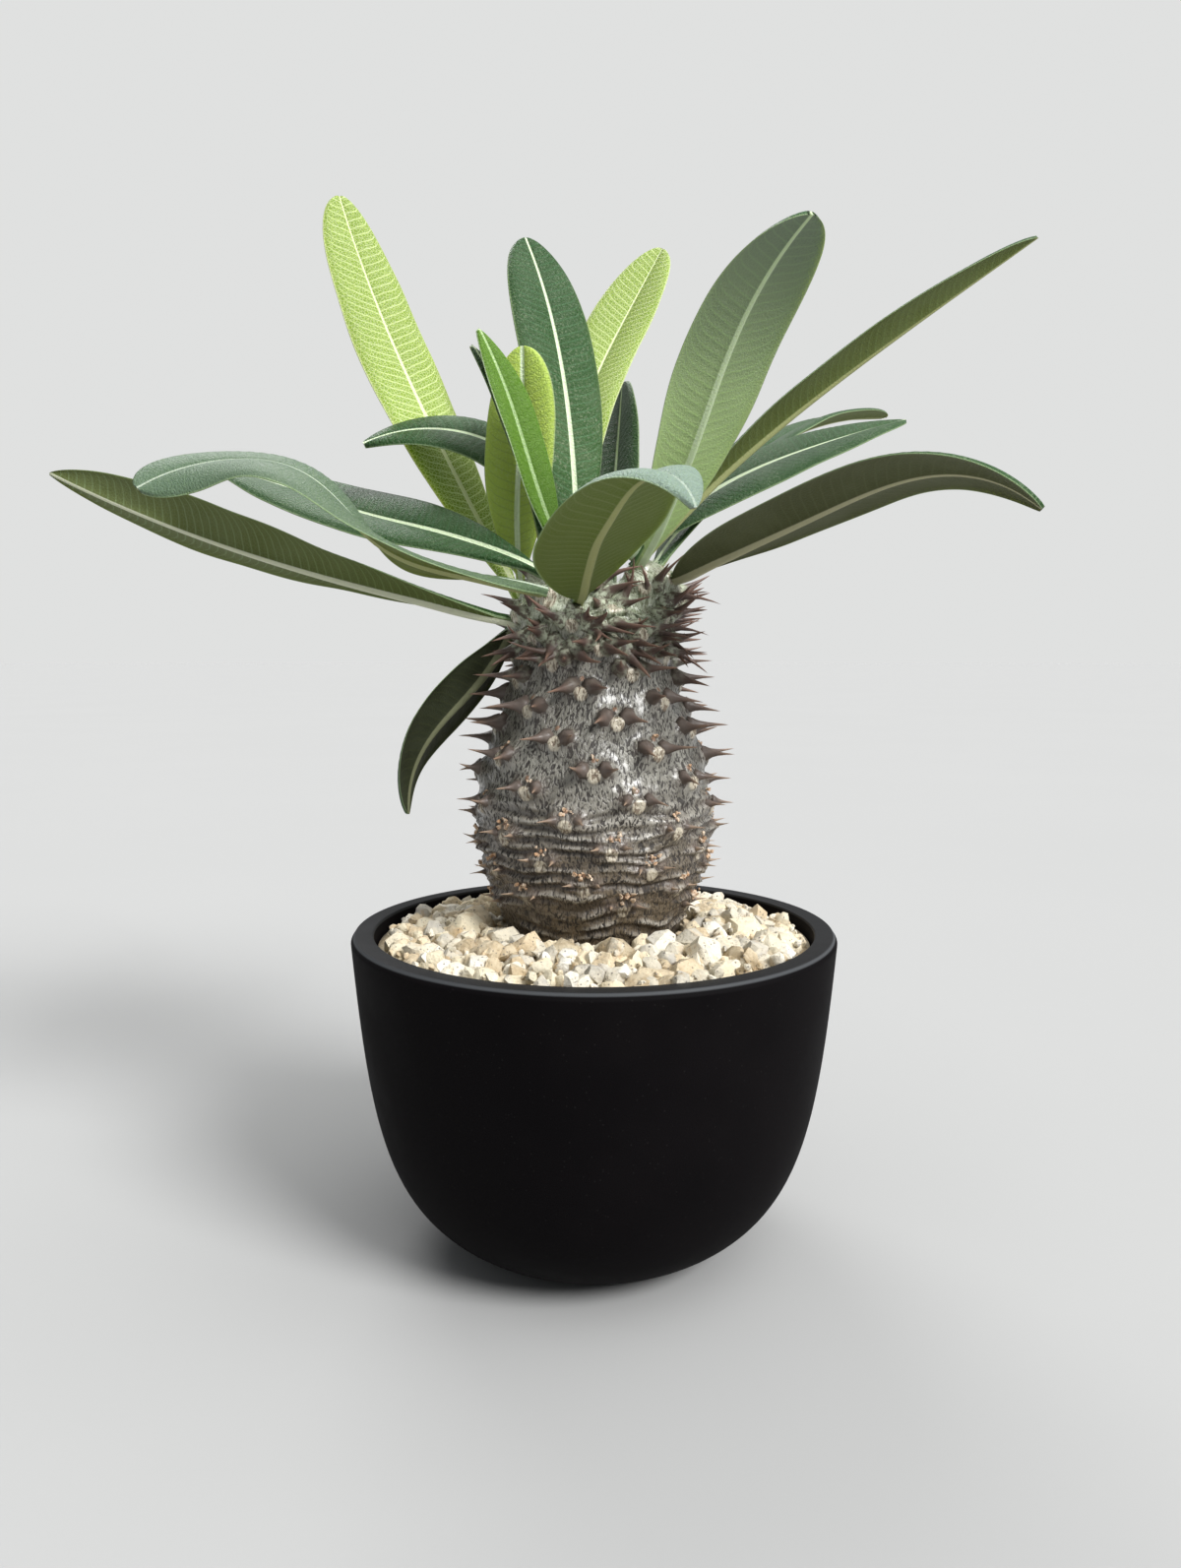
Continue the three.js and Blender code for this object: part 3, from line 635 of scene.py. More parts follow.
# %% How each leaf lies
# base point, heading, rise, roll, fold of the half blades, length, width, and the kind of leaf
LEAVES = {
    "01": ((-18, 11, 149.5), (153, 154), (58, 62, 71), (21, 24), (-3, 0), 109, 21, "lit"),
    "02": ((-4, 3.5, 155), (96, 132), (81, 71, 60), (-26, 15), (3, -2), 85, 20, "glossy"),
    "03": ((-5.5, 14, 151.5), (97, 61, 41), (89, 56, 56), (14, -37), (15, 19), 102, 17.5, "lit"),
    "04": ((4, 11, 152.5), (86, 80), (56, 58, 66), (24, 60), (12, 6), 60, 19, "dark"),
    "05": ((-8.5, 11, 155), (179, 188), (103, 29, -26), (60, 25), (0, -2), 65, 18, "dark"),
    "06": ((-16.5, 2, 152), (176, 171), (84, 94, 89), (85, 100), (11, 3), 51, 16, "olive"),
    "07": ((-6.5, -7.5, 155), (174, 172), (66, 73, 63), (45, 28), (25, 14), 53, 12, "young"),
    "08": ((11, -6, 157), (-56, -55), (44, 59, 27), (-3, -3), (5, -5), 75, 24, "grey"),
    "09": ((12.5, -1.5, 159), (1, -1), (47, 37, 34), (6, 4), (28, 22), 106, 17.5, "dark"),
    "10": ((12.5, 3.5, 160.5), (33, 19), (40, 22, 16), (-29, -16), (-6, 9), 81, 20, "dark"),
    "11": ((13.5, 8, 154), (55, 34), (43, 29, 5), (4, 1), (12, 8), 110, 20, "dark"),
    "12": ((17.5, -3, 152), (-70, -38, -25), (4, 16, 14, -44), (3, 8, 9), (20, -3), 87, 25, "bronze"),
    "13": ((-3, -15.5, 147.5), (-84, -78, -30), (10, 19, 16, 24, -74), (-22, -14, -7), (2, 3), 66, 26, "pale"),
    "14": ((-10, -12.5, 148.5), (220, 173, 171, 217), (10, 13, 46, 2, -35), (29, -12, 14, 44), (-2, -7), 96,
           22.5, "sage"),
    "15": ((-11.5, -9.5, 153), (166, 147, 150), (26, 14, 18, 14), (46, 12), (11, 3), 96, 21, "dark"),
    "16": ((-18.5, -2.5, 143), (172, 176), (11, 17, 26), (-14, -52), (12, 22), 112, 20, "ribbed"),
    "17": ((-18.5, 2.5, 142), (201, 194), (-66, -46, -93), (-57, -20), (20, 2), 50, 20, "shaded"),
    "18": ((-10, -5, 154), (173, 173), (80, 72, 58), (28, 30), (24, 20), 51, 9, "dark"),
}
POINTED = ("05", "07", "09", "10", "12", "13", "16", "17", "18")
LEAF_ROWS = 220
HALF_COLUMNS = (0, 0.03, 0.07, 0.12, 0.19, 0.28, 0.38, 0.48, 0.58, 0.68, 0.77, 0.85, 0.91, 0.955, 0.985, 1)
MIDRIB_STEPS = 240
PETIOLE_SHARE, PETIOLE_THICKNESS, BLADE_THICKNESS, PETIOLE_SINK = 0.13, 2.0, 0.8, 6.0
LEAF_BULGE = 0.07
VEIN_SPACING, VEIN_LEAN, VEIN_BEND, VEIN_SHIFT = 2.0, 0.28, 0.4, 0.45
QUILT = 0.04  # how far the blade swells between its veins
MAP_WIDTH, MAP_LENGTH = 60.0, 130.0  # millimetres that the leaf's UV map spans


# %% Building one blade
def run(values, s):
    """The value at s of a smooth run through evenly spaced values"""
    values = np.asarray(values, float)
    last = len(values) - 1
    padded = np.concatenate([[2 * values[0] - values[1]], values, [2 * values[-1] - values[-2]]])
    place = np.clip(s, 0, 1) * last
    i = np.minimum(np.floor(place).astype(int), last - 1)
    f = place - i
    a, b, c, d = (padded[i + k] for k in range(4))
    return b + 0.5 * f * (c - a + f * (2 * a - 5 * b + 4 * c - d + f * (3 * (b - c) + d - a)))


def blade_share(s, pointed):
    """The blade's width at s, as a share of its greatest"""
    opening = np.clip((s - 0.03) / 0.52, 0, 1)
    lower = mix(PETIOLE_SHARE, 1, np.sin(np.pi / 2 * opening) ** 0.9)
    closing = np.clip((s - 0.6) / 0.4, 0, 1)
    if pointed:
        return lower * np.maximum(1 - closing ** 2.0, 0) ** 0.72
    return lower * np.sqrt(np.maximum(1 - closing ** 2.6, 0))


def leaf_form(number, base, heading, rise, roll, fold, length, width):
    """The two faces of a blade as grids of points, and where each point lies on the flat blade"""
    def tangent_at(s):
        h, e = np.radians(run(heading, s)), np.radians(run(rise, s))
        return np.stack([np.cos(e) * np.cos(h), np.cos(e) * np.sin(h), np.sin(e)], -1)

    walk = tangent_at((np.arange(MIDRIB_STEPS) + 0.5) / MIDRIB_STEPS) * length / MIDRIB_STEPS
    spots = np.concatenate([[base], np.array(base) + np.cumsum(walk, 0)])
    s = 1 - (1 - np.linspace(0, 1, LEAF_ROWS)) ** 1.3
    s = np.concatenate([[0], s[:-1], [0.9985]])
    steps = np.arange(MIDRIB_STEPS + 1)
    middle = np.stack([np.interp(s * MIDRIB_STEPS, steps, spots[:, k]) for k in range(3)], -1)
    tangent = tangent_at(s)
    middle[0] -= PETIOLE_SINK * tangent[0]
    h = np.radians(run(heading, s))
    level = np.stack([np.sin(h), -np.cos(h), 0 * h], -1)
    upright = np.cross(level, tangent)
    turn = np.radians(run(roll, s))[:, None]
    across = level * np.cos(turn) + upright * np.sin(turn)
    face = upright * np.cos(turn) - level * np.sin(turn)

    u = np.array([-x for x in HALF_COLUMNS[:0:-1]] + list(HALF_COLUMNS))[None, :]
    size = np.abs(u)
    half = (width / 2 * blade_share(s, number in POINTED))[:, None]
    out = half * u
    along = (s * length)[:, None]
    raise_by = np.radians(run(fold, s))[:, None]
    own = 3.7 * int(number)
    wave = np.array([[noise.noise(Vector((row * length / 17, 9.1 * np.sign(c) + own, 0))) for c in u[0]]
                     for row in s])
    upwards = half * (size * np.sin(raise_by) + LEAF_BULGE * 4 * size * (1 - size))
    upwards += 0.7 * wave * size ** 2 * smooth(s, 0.15, 0.4)[:, None] - 0.35 * smooth(size, 0.85, 1)
    step = (along - abs(out) * (VEIN_LEAN + VEIN_BEND * size ** 5)) / VEIN_SPACING + VEIN_SHIFT * (out > 0)
    quilted = smooth(size, 0.04, 0.2) * (1 - smooth(size, 0.8, 0.98)) * smooth(along, 6, 16)
    upwards += QUILT * quilted * (1 - smooth(s, 0.72, 0.92))[:, None] * np.cos(2 * np.pi * step)
    aside = out * np.cos(raise_by)
    surface = middle[:, None] + across[:, None] * aside[..., None] + face[:, None] * upwards[..., None]
    normal = face[:, None] * np.cos(raise_by)[..., None]
    normal = normal - across[:, None] * (np.sign(u) * np.sin(raise_by))[..., None]

    thick = mix(PETIOLE_THICKNESS, BLADE_THICKNESS, smooth(s, 0, 0.22))[:, None] / 2
    thick = thick * (1 - 0.4 * u ** 2) * np.sqrt(1 - size ** 8)
    rib = np.sqrt(np.clip(half / 4, 0, 1))
    groove = 0.22 * np.exp(-(out / 0.55) ** 2) * rib
    ridge = mix(0.95, 0.15, s)[:, None] * np.exp(-(out / 0.8) ** 2) * rib
    top = surface + normal * (thick - groove)[..., None]
    under = surface - normal * (thick + ridge)[..., None]
    return top, under, s * length, out, size[0], middle[0]


def leaf_piece(number, numbers):
    top, under, along, out, size, base = leaf_form(number, *numbers)
    rows, columns = out.shape
    form = bmesh.new()
    side = form.verts.layers.float.new("underside")
    edge = form.verts.layers.float.new("edge")
    uv = form.loops.layers.uv.new("blade")
    flat = {}

    def spot(point, underside, to_edge, across, up_the_leaf):
        vertex = form.verts.new(point * MM)
        vertex[side] = underside
        vertex[edge] = to_edge
        flat[vertex] = (0.5 + across / MAP_WIDTH, up_the_leaf / MAP_LENGTH)
        return vertex

    grid = [{}, {}]
    for r in range(rows):
        for c in range(columns):
            at_margin = c in (0, columns - 1)
            where = (size[c], out[r, c], along[r])
            grid[0][r, c] = spot(top[r, c], 0.5 if at_margin else 0.0, *where)
            grid[1][r, c] = grid[0][r, c] if at_margin else spot(under[r, c], 1.0, *where)
    centre = columns // 2
    tip = spot((top[-1, centre] + under[-1, centre]) / 2, 0.5, 1.0, 0.0, along[-1])
    foot = spot(base, 0.5, 0.0, 0.0, 0.0)

    def patch(*corners):
        for loop in form.faces.new(corners).loops:
            loop[uv].uv = flat[loop.vert]

    upper, lower = grid
    for r in range(rows - 1):
        for c in range(columns - 1):
            patch(upper[r, c], upper[r, c + 1], upper[r + 1, c + 1], upper[r + 1, c])
            patch(lower[r, c], lower[r + 1, c], lower[r + 1, c + 1], lower[r, c + 1])
    for c in range(columns - 1):
        for face_points, turn in ((upper, 1), (lower, -1)):
            patch(*[face_points[0, c], face_points[0, c + 1]][::-turn], foot)
            patch(*[face_points[rows - 1, c], face_points[rows - 1, c + 1]][::turn], tip)
    blade_name = f"blade_{number}"
    return link(bpy.data.objects.new(blade_name, smooth_mesh(blade_name, form)))


# %% [markdown]
# ## Leaf finish
# The leaf's own UV map is in true millimetres, so the veins can be drawn by a rule: they leave the midrib
# nearly square, bend towards the tip near the margin, and a fine net lies between them. One node group makes
# the masks of midrib, veins, net and margin, and the spots for painted glints. Eleven finishes use it: most
# leaves are dark and mature, and the others differ by their own colour and age, and by painted light: brighter
# tones painted for light shining through, a painted sheen where light glances off, darker tones painted for
# leaves in shade. Every leaf is also painted darker or lighter towards its base.


# %% Node group: leaf veins
def make_veins():
    sizes = {"Edge": 0.0, "Vein Spacing": VEIN_SPACING, "Midrib Width": 0.6, "Net Scale": 1.25}
    masks = ("Midrib", "Veins", "Net", "Margin", "Glints", "Relief")
    group, given, result = empty_group("leaf_veins", "Map", sizes, masks)
    edge, spacing = given["Edge"], given["Vein Spacing"]
    out = times(minus(part(given["Map"], "X"), 0.5), MAP_WIDTH)
    along = times(part(given["Map"], "Y"), MAP_LENGTH)
    flat = node(group, "ShaderNodeCombineXYZ", X=out, Y=along).outputs[0]
    size = calc("ABSOLUTE", out)
    wobble = times(minus(grain(flat, 0.28, 2.0), 0.5), 0.6)
    bend = times(size, plus(VEIN_LEAN, times(calc("POWER", edge, 5.0), VEIN_BEND)))
    side_shift = times(calc("GREATER_THAN", out, 0.0), VEIN_SHIFT)
    step = plus(calc("DIVIDE", minus(plus(along, wobble), bend), spacing), side_shift)
    gap = times(calc("ABSOLUTE", minus(calc("FRACT", step), 0.5)), spacing)
    reach = between(edge, 0.75, 0.97, 1.0, 0.25)
    cells = node(group, "ShaderNodeTexVoronoi", {"feature": "DISTANCE_TO_EDGE", "voronoi_dimensions": "2D"},
                 Vector=flat, Scale=given["Net Scale"]).outputs[0]
    net = between(cells, 0.12, 0.02)
    width = times(given["Midrib Width"], between(along, 0.0, 110.0, 1.25, 0.30))
    # painted glints: sparse spots where the upper side's colour is made paler, standing in for sparkling
    # highlights
    glints = between(grain(flat, 1.5, 2.0, 0.6), 0.50, 0.62)
    feed(result["Midrib"], between(minus(size, width), 0.12, -0.12))
    feed(result["Veins"], times(between(gap, 0.26, 0.06), reach))
    feed(result["Net"], net)
    feed(result["Margin"], between(edge, 0.955, 0.99))
    feed(result["Glints"], times(glints, between(grain(flat, 0.16, 1.0), 0.35, 0.65, 0.35, 1.0)))
    feed(result["Relief"], minus(times(grain(flat, 2.2, 2.0, 0.55), 0.9), times(net, 0.15)))
    return group


veins_group = make_veins()
print("group:", veins_group.name)

# %% Leaf finishes
MATURE = {"upper": (0.016, 0.056, 0.010), "under": (0.088, 0.112, 0.022), "vein_upper": (0.045, 0.115, 0.045),
          "vein_under": (0.125, 0.165, 0.052), "rib_upper": (0.66, 0.76, 0.53), "rib_under": (0.32, 0.34, 0.15),
          "margin": (0.24, 0.33, 0.17)}


def leaf_finish(name, glow, gloss, painted_light_at_base=(0.9, 0.9, 0.9), net_share=0.28, specular=0.18, **own_tones):
    tones = MATURE | own_tones
    material, shader, place = finish(name)
    tree = shader.id_data
    blade_map = node(tree, "ShaderNodeUVMap", {"uv_map": "blade"}).outputs[0]
    below = between(attribute(shader, "underside"), 0.35, 0.65)
    veins = node(tree, "ShaderNodeGroup", {"node_tree": veins_group}, Map=blade_map,
                 Edge=attribute(shader, "edge"), Midrib_Width=between(below, 0, 1, 0.55, 0.80)).outputs
    marks = patches_and_specks(place, 70.0, 1800.0, 0.2)
    flesh = blended(below, tones["upper"], tones["under"])
    paler = blended(0.3, flesh, tones["rib_upper"])
    line = blended(below, tones["vein_upper"], tones["vein_under"])
    rib = blended(below, tones["rib_upper"], tones["rib_under"])
    colour = over(flesh, marks["Patches"], 0.12, paler)
    # painted glints: paler specks on the upper side only, standing in for sparkling highlights
    colour = over(colour, veins["Glints"], times(minus(1.0, below), 0.34), paler)
    colour = over(colour, veins["Net"], net_share, line)
    colour = over(colour, veins["Veins"], 0.75, line)
    # painted light along the blade: the colour is multiplied towards the base; below 1 it darkens the base as
    # painted shade from the crown, above 1 it lightens it as painted light and sheen
    base_light = blended(between(part(blade_map, "Y"), 0.06, 0.62), painted_light_at_base, (1.0, 1.0, 1.0))
    colour = blended(1.0, colour, base_light, "MULTIPLY")
    colour = blended(veins["Midrib"], colour, rib)
    colour = over(colour, veins["Margin"], 0.7, tones["margin"])
    rough = plus(between(below, 0, 1, gloss, gloss + 0.2), times(marks["Grain"], 0.12))
    supply(shader, Base_Color=colour, Roughness=rough, Subsurface_Weight=glow,
           Subsurface_Radius=(0.9, 1.0, 0.4), Subsurface_Scale=0.0015, Specular_IOR_Level=specular)
    bumped(shader, times(veins["Relief"], between(below, 0, 1, 1.0, 0.4)), 1.0, 0.0004)
    return material


leaf_finishes = {
    "dark": leaf_finish("mature_leaf", 0.10, 0.36),
    # painted sheen: this leaf is painted much lighter towards its base, standing in for reflected light on its
    # lower part
    "glossy": leaf_finish("glossy_leaf", 0.10, 0.30, (1.8, 1.5, 1.7), specular=0.16),
    "ribbed": leaf_finish("ribbed_leaf", 0.10, 0.36, (0.75, 0.8, 0.5), under=(0.098, 0.120, 0.034),
                          vein_under=(0.17, 0.22, 0.10), rib_under=(0.60, 0.62, 0.46)),
    "bronze": leaf_finish("bronze_leaf", 0.08, 0.40, under=(0.064, 0.072, 0.027),
                          vein_under=(0.082, 0.094, 0.040), rib_under=(0.36, 0.35, 0.22)),
    # painted sheen: the pale grey-green upper sides of these two finishes stand in for light glancing off the
    # blade
    "sage": leaf_finish("sage_leaf", 0.15, 0.38, (0.8, 0.8, 0.7), upper=(0.085, 0.135, 0.080),
                        vein_upper=(0.12, 0.18, 0.11), rib_upper=(0.40, 0.46, 0.36), under=(0.13, 0.16, 0.030)),
    "pale": leaf_finish("pale_leaf", 0.15, 0.38, upper=(0.20, 0.27, 0.215), vein_upper=(0.23, 0.31, 0.25),
                        rib_upper=(0.36, 0.43, 0.36), under=(0.118, 0.162, 0.032),
                        vein_under=(0.17, 0.21, 0.075)),
    "grey": leaf_finish("grey_leaf", 0.2, 0.36, (2.0, 2.1, 1.25), 0.5, under=(0.152, 0.192, 0.136),
                        vein_under=(0.19, 0.255, 0.16), rib_under=(0.50, 0.60, 0.38)),
    # painted shade: this underside is darkened to stand in for the shade the leaf lies in
    "shaded": leaf_finish("shaded_leaf", 0.05, 0.42, under=(0.026, 0.031, 0.013),
                          vein_under=(0.048, 0.056, 0.025), rib_under=(0.20, 0.21, 0.12)),
    "olive": leaf_finish("olive_leaf", 0.3, 0.42, (0.8, 0.8, 0.8), upper=(0.44, 0.58, 0.10),
                         under=(0.40, 0.54, 0.10), vein_upper=(0.34, 0.46, 0.11),
                         vein_under=(0.50, 0.64, 0.20)),
    # painted light: the bright yellow-green tones, pale veins and lighter base stand in for light shining
    # through the blade, on top of the real subsurface glow
    "lit": leaf_finish("backlit_leaf", 0.45, 0.5, (1.35, 1.35, 1.35), 0.8, upper=(0.195, 0.285, 0.040),
                       under=(0.19, 0.28, 0.045), vein_upper=(0.54, 0.62, 0.29),
                       vein_under=(0.50, 0.57, 0.26), rib_upper=(0.74, 0.80, 0.50),
                       rib_under=(0.62, 0.66, 0.38), margin=(0.62, 0.72, 0.36)),
    "young": leaf_finish("young_leaf", 0.3, 0.42, upper=(0.082, 0.180, 0.012), under=(0.10, 0.20, 0.02),
                         vein_upper=(0.105, 0.215, 0.026), vein_under=(0.14, 0.25, 0.05),
                         rib_upper=(0.42, 0.56, 0.28), rib_under=(0.36, 0.45, 0.22),
                         margin=(0.40, 0.50, 0.32)),
}
print("leaf finishes:", len(leaf_finishes))

# %% Lay the leaves
blades = []
for number, (*numbers, kind) in LEAVES.items():
    blade = leaf_piece(number, numbers)
    blade.data.materials.append(leaf_finishes[kind])
    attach(blade, "root")
    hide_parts("leaf_" + number)
    blades.append(blade)
print("leaves:", len(blades), "faces each:", len(blades[0].data.polygons))

# %% [markdown]
# ## The trunk
# The caudex is a swollen bottle with a crown and a side shoot. It is covered with tubercles, each a low mound
# that carries two spines, with the round scar of a fallen leaf below them and a small dry bud above. Sculpting
# would do, but the tubercles wind up the trunk by the golden angle, and a rule is easier to keep true than a
# brush. So rays are sent outwards from inside the body, and each point where one leaves it becomes a vertex
# that mounds, scars and wrinkles then lift.

# %% The smooth body
CAUDEX_OUTLINE = ((38, 1.6), (47, 5.2), (57, 11.5), (66, 17), (76, 21.5), (87, 25.6), (99, 27), (111, 25.5),
                  (120, 22.5), (128, 20.4), (137, 18.3), (145, 17))
CROWN = ((-4.5, 1, 143.5), (15, 15, 11.5))
SIDE_SHOOT = ((12.0, 1, 148), (7.5, 7.7, 10))
WELD = 2.5  # how softly the crown and the shoot run into the trunk

outline_heights = np.array([p[0] for p in CAUDEX_OUTLINE], float)
outline_radii = [p[1] for p in CAUDEX_OUTLINE]


def trunk_radius(z):
    last = len(outline_radii) - 1
    place = np.interp(z, outline_heights, np.arange(last + 1)) / last
    return run(outline_radii, place)


def soft_union(a, b):
    h = np.clip(0.5 + 0.5 * (b - a) / WELD, 0, 1)
    return mix(b, a, h) - WELD * h * (1 - h)


def depth_outside(p, weld=True):
    """How far a point lies outside the smooth body, negative inside"""
    radial = np.hypot(p[..., 0], p[..., 1]) - trunk_radius(p[..., 2])
    trunk = np.maximum(radial, p[..., 2] - outline_heights[-1])
    domes = [(np.linalg.norm((p - np.array(middle)) / np.array(radii), axis=-1) - 1) * min(radii)
             for middle, radii in (CROWN, SIDE_SHOOT)]
    if not weld:
        return np.minimum(np.minimum(trunk, domes[0]), domes[1])
    return soft_union(soft_union(trunk, domes[0]), domes[1])


def leave_body(start, way, weld=True):
    """The outermost point of the body on each ray"""
    start, way = np.broadcast_arrays(np.asarray(start, float), np.asarray(way, float))
    far = np.full(start.shape[:-1], 46.0)
    outside = np.ones(start.shape[:-1], bool)
    for _ in range(92):
        outside &= depth_outside(start + way * far[..., None], weld) > 0
        far = np.where(outside, far - 0.5, far)
    low, high = far.copy(), far + 0.5
    for _ in range(14):
        middle = (low + high) / 2
        is_out = depth_outside(start + way * middle[..., None], weld) > 0
        high = np.where(is_out, middle, high)
        low = np.where(is_out, low, middle)
    return start + way * low[..., None]


# %% Where the tubercles sit
GOLDEN_ANGLE = 137.508
SPIRAL_START, SPIRAL_TURN, SPIRAL_TOP, SPIRAL_BOTTOM = 128.6, -98, 148, 80
SHOOT_TUBERCLES, SHOOT_TURN, SHOOT_PITCH = 9, -150, 0.75
PAIR_SPREAD = 2.7  # from a tubercle's middle to each of its two spines
UP = np.array([0.0, 0.0, 1.0])


def pitch_at(z):
    if z > 116:
        return mix(0.8, 0.62, float(smooth(z, 128, 138)))
    return mix(0.62, 0.8, float(smooth(z, 94, 104)))


def outward(turn):
    return np.array([math.cos(math.radians(turn)), math.sin(math.radians(turn)), 0.0])


def beside(out):
    """The level direction square to an outward one"""
    return np.cross(UP, out)


def fullness(z):
    """How full the mound of a tubercle is: those near the foot are worn flat"""
    return float(smooth(z, 84, 104))


def tubercle_places():
    places = []
    for step in (1, -1):
        z, k = SPIRAL_START, 0
        while SPIRAL_BOTTOM < z < SPIRAL_TOP:
            out = outward(SPIRAL_TURN + GOLDEN_ANGLE * k)
            if k != 0 or step > 0:
                places.append((leave_body((0, 0, z), out, False), out))
            z -= step * pitch_at(z)
            k += step
    x, y, z = SIDE_SHOOT[0]
    for k in range(SHOOT_TUBERCLES):
        out = outward(SHOOT_TURN + GOLDEN_ANGLE * k)
        places.append((leave_body((x, y, z + SHOOT_PITCH * (k + 1)), out, False), out))
    return places


tubercles = tubercle_places()
print("tubercles:", len(tubercles))

# %% The trunk's grid
TRUNK_COLUMNS = 400
RAY_KNEE = (2.0, 1.0, 138.0)  # above this height the rays fan out from one point
BARK_RADIUS = 27  # of the cylinder that the bark is unrolled on
row_heights = np.concatenate([np.linspace(38.5, 64, 12), np.linspace(65, 138, 168)])
fan = np.radians(np.linspace(0, 90, 56)[1:-1])
azimuth = np.arange(TRUNK_COLUMNS) * 2 * np.pi / TRUNK_COLUMNS
starts = [(RAY_KNEE[0] * smooth(z, 110, 138), RAY_KNEE[1] * smooth(z, 110, 138), z) for z in row_heights]
starts = np.array(starts + [RAY_KNEE] * len(fan))
climb = np.concatenate([np.zeros(len(row_heights)), fan])
ways = np.stack([np.cos(climb)[:, None] * np.cos(azimuth), np.cos(climb)[:, None] * np.sin(azimuth),
                 np.sin(climb)[:, None] + 0 * azimuth], -1)
smooth_body = leave_body(starts[:, None], ways)
print("trunk grid:", smooth_body.shape)


# %% Mounds, scars, buds and wrinkles
def surface_normals(grid):
    around = np.roll(grid, -1, 1) - np.roll(grid, 1, 1)
    upward = np.gradient(grid, axis=0)
    normal = np.cross(around, upward)
    return normal / np.maximum(np.linalg.norm(normal, axis=-1, keepdims=True), 1e-9)


def field(grid, scale, seed, octaves=3):
    """Soft random values, one for each point of a grid"""
    flat = (grid * np.asarray(scale, float) + seed * 17.3).reshape(-1, 3)
    values = [noise.fractal(Vector(p), 1.0, 2.0, octaves) for p in flat]
    return np.array(values).reshape(grid.shape[:-1])


def tuck(z):
    """How far the skin lies inside the smooth body, to make room for its mounds"""
    return mix(0.9, 1.8, smooth(z, 116, 130))


def blob(across, along, wide, high):
    return np.exp(-(across / wide) ** 2 - (along / high) ** 2)


def on_cylinder(height):
    """The trunk's grid wrapped on a plain cylinder, to read noise from without a seam"""
    level = 0 * heights
    return np.stack([BARK_RADIUS * np.cos(azimuth) + level, BARK_RADIUS * np.sin(azimuth) + level,
                     height + level], -1)


heights = smooth_body[..., 2]
lift = 0.55 * field(smooth_body, 1 / 9, 1) - tuck(heights)
scar, bud, stain = (np.zeros(heights.shape) for _ in range(3))
for middle, out in tubercles:
    offset = smooth_body - middle
    across, above = offset @ beside(out), offset[..., 2]
    near = np.abs(offset @ out) < 5
    full = fullness(middle[2])
    from_spine = np.abs(across) - PAIR_SPREAD
    swell = mix(0.5, 1.4, full) * blob(across, above + 0.6, 4.1, 2.9)
    pair = mix(0.3, 1.0, full) * blob(from_spine, above, 1.5, 1.6)
    plate_reach = np.hypot(across, above + 1.3)
    plate = mix(0.6, 1.0, full) * (1 - smooth(plate_reach, 1.2, 1.85))
    dent = plate * (1 - smooth(plate_reach, 0.2, 0.85))
    dry_bud = 1 - smooth(np.hypot(across, above - 2.0), 0.3, 0.8)
    lift += near * (swell + pair + 0.5 * plate - 0.25 * dent + 0.3 * dry_bud)
    scar = np.maximum(scar, near * plate)
    bud = np.maximum(bud, near * dry_bud)
    stain = np.maximum(stain, near * blob(from_spine, above, 1.7, 1.8))
unrolled = on_cylinder(heights)
wander = 0.9 * field(unrolled, (1 / 19, 1 / 19, 1 / 12), 4, 2)
strength = smooth(field(unrolled, (1 / 10, 1 / 10, 1 / 3), 9, 2), -0.30, 0.15)
folded = smooth(heights, 71, 78) * (1 - smooth(heights, 98, 110))
wave = 0.5 + 0.5 * np.cos(2 * np.pi * (heights / 2.9 + wander))
wrinkle = folded * strength * (2 * wave ** 1.4 - 1)
fine = np.cos(2 * np.pi * (heights / 1.2 + 2.3 * wander))
lift += 0.55 * wrinkle + 0.12 * folded * fine + 0.16 * field(smooth_body, 1 / 1.5, 7, 2)
bark_grid = smooth_body + surface_normals(smooth_body) * lift[..., None]
print("lifted between", round(float(lift.min()), 2), "and", round(float(lift.max()), 2), "mm")


# %% The trunk as a mesh
def store(mesh, name, values, kind="FLOAT"):
    """Keeps a number or a vector with each vertex of a mesh"""
    values = np.asarray(values, np.int32 if kind == "INT" else np.float32)
    layer = mesh.attributes.new(name, kind, "POINT")
    layer.data.foreach_set("vector" if kind == "FLOAT_VECTOR" else "value", values.ravel())


def grid_piece(name, grid, poles, fields):
    """A closed piece from a grid of rings and its two poles, with a value or vector at each point"""
    rows, columns = grid.shape[:2]
    points = np.concatenate([grid.reshape(-1, 3), poles]) * MM
    number = np.arange(rows * columns).reshape(rows, columns)
    faces = []
    for low, high in zip(number, number[1:]):
        faces += zip(low, np.roll(low, -1), np.roll(high, -1), high)
    south, north = rows * columns, rows * columns + 1
    faces += [(a, south, b) for a, b in zip(np.roll(number[0], -1), number[0])]
    faces += [(a, b, north) for a, b in zip(number[-1], np.roll(number[-1], -1))]
    mesh = bpy.data.meshes.new(name)
    mesh.from_pydata(points.tolist(), [], [tuple(int(i) for i in f) for f in faces])
    for field_name, value in fields.items():
        flat = value.reshape(rows * columns, *value.shape[2:])
        kind = "FLOAT_VECTOR" if value.ndim == 3 else "FLOAT"
        store(mesh, field_name, np.concatenate([flat, value[0, :1], value[-1, :1]]), kind)
    mesh.shade_smooth()
    return link(bpy.data.objects.new(name, mesh))


row_steps = np.linalg.norm(np.diff(smooth_body, axis=0), axis=-1).mean(1)
arc = np.concatenate([[0], np.cumsum(row_steps)])
crown_share = smooth(heights, 137, 145)
wool = crown_share * (0.5 + 0.5 * smooth(field(smooth_body, 1 / 5, 12, 2), -0.1, 0.4))
top_pole = leave_body(np.array(RAY_KNEE), UP)
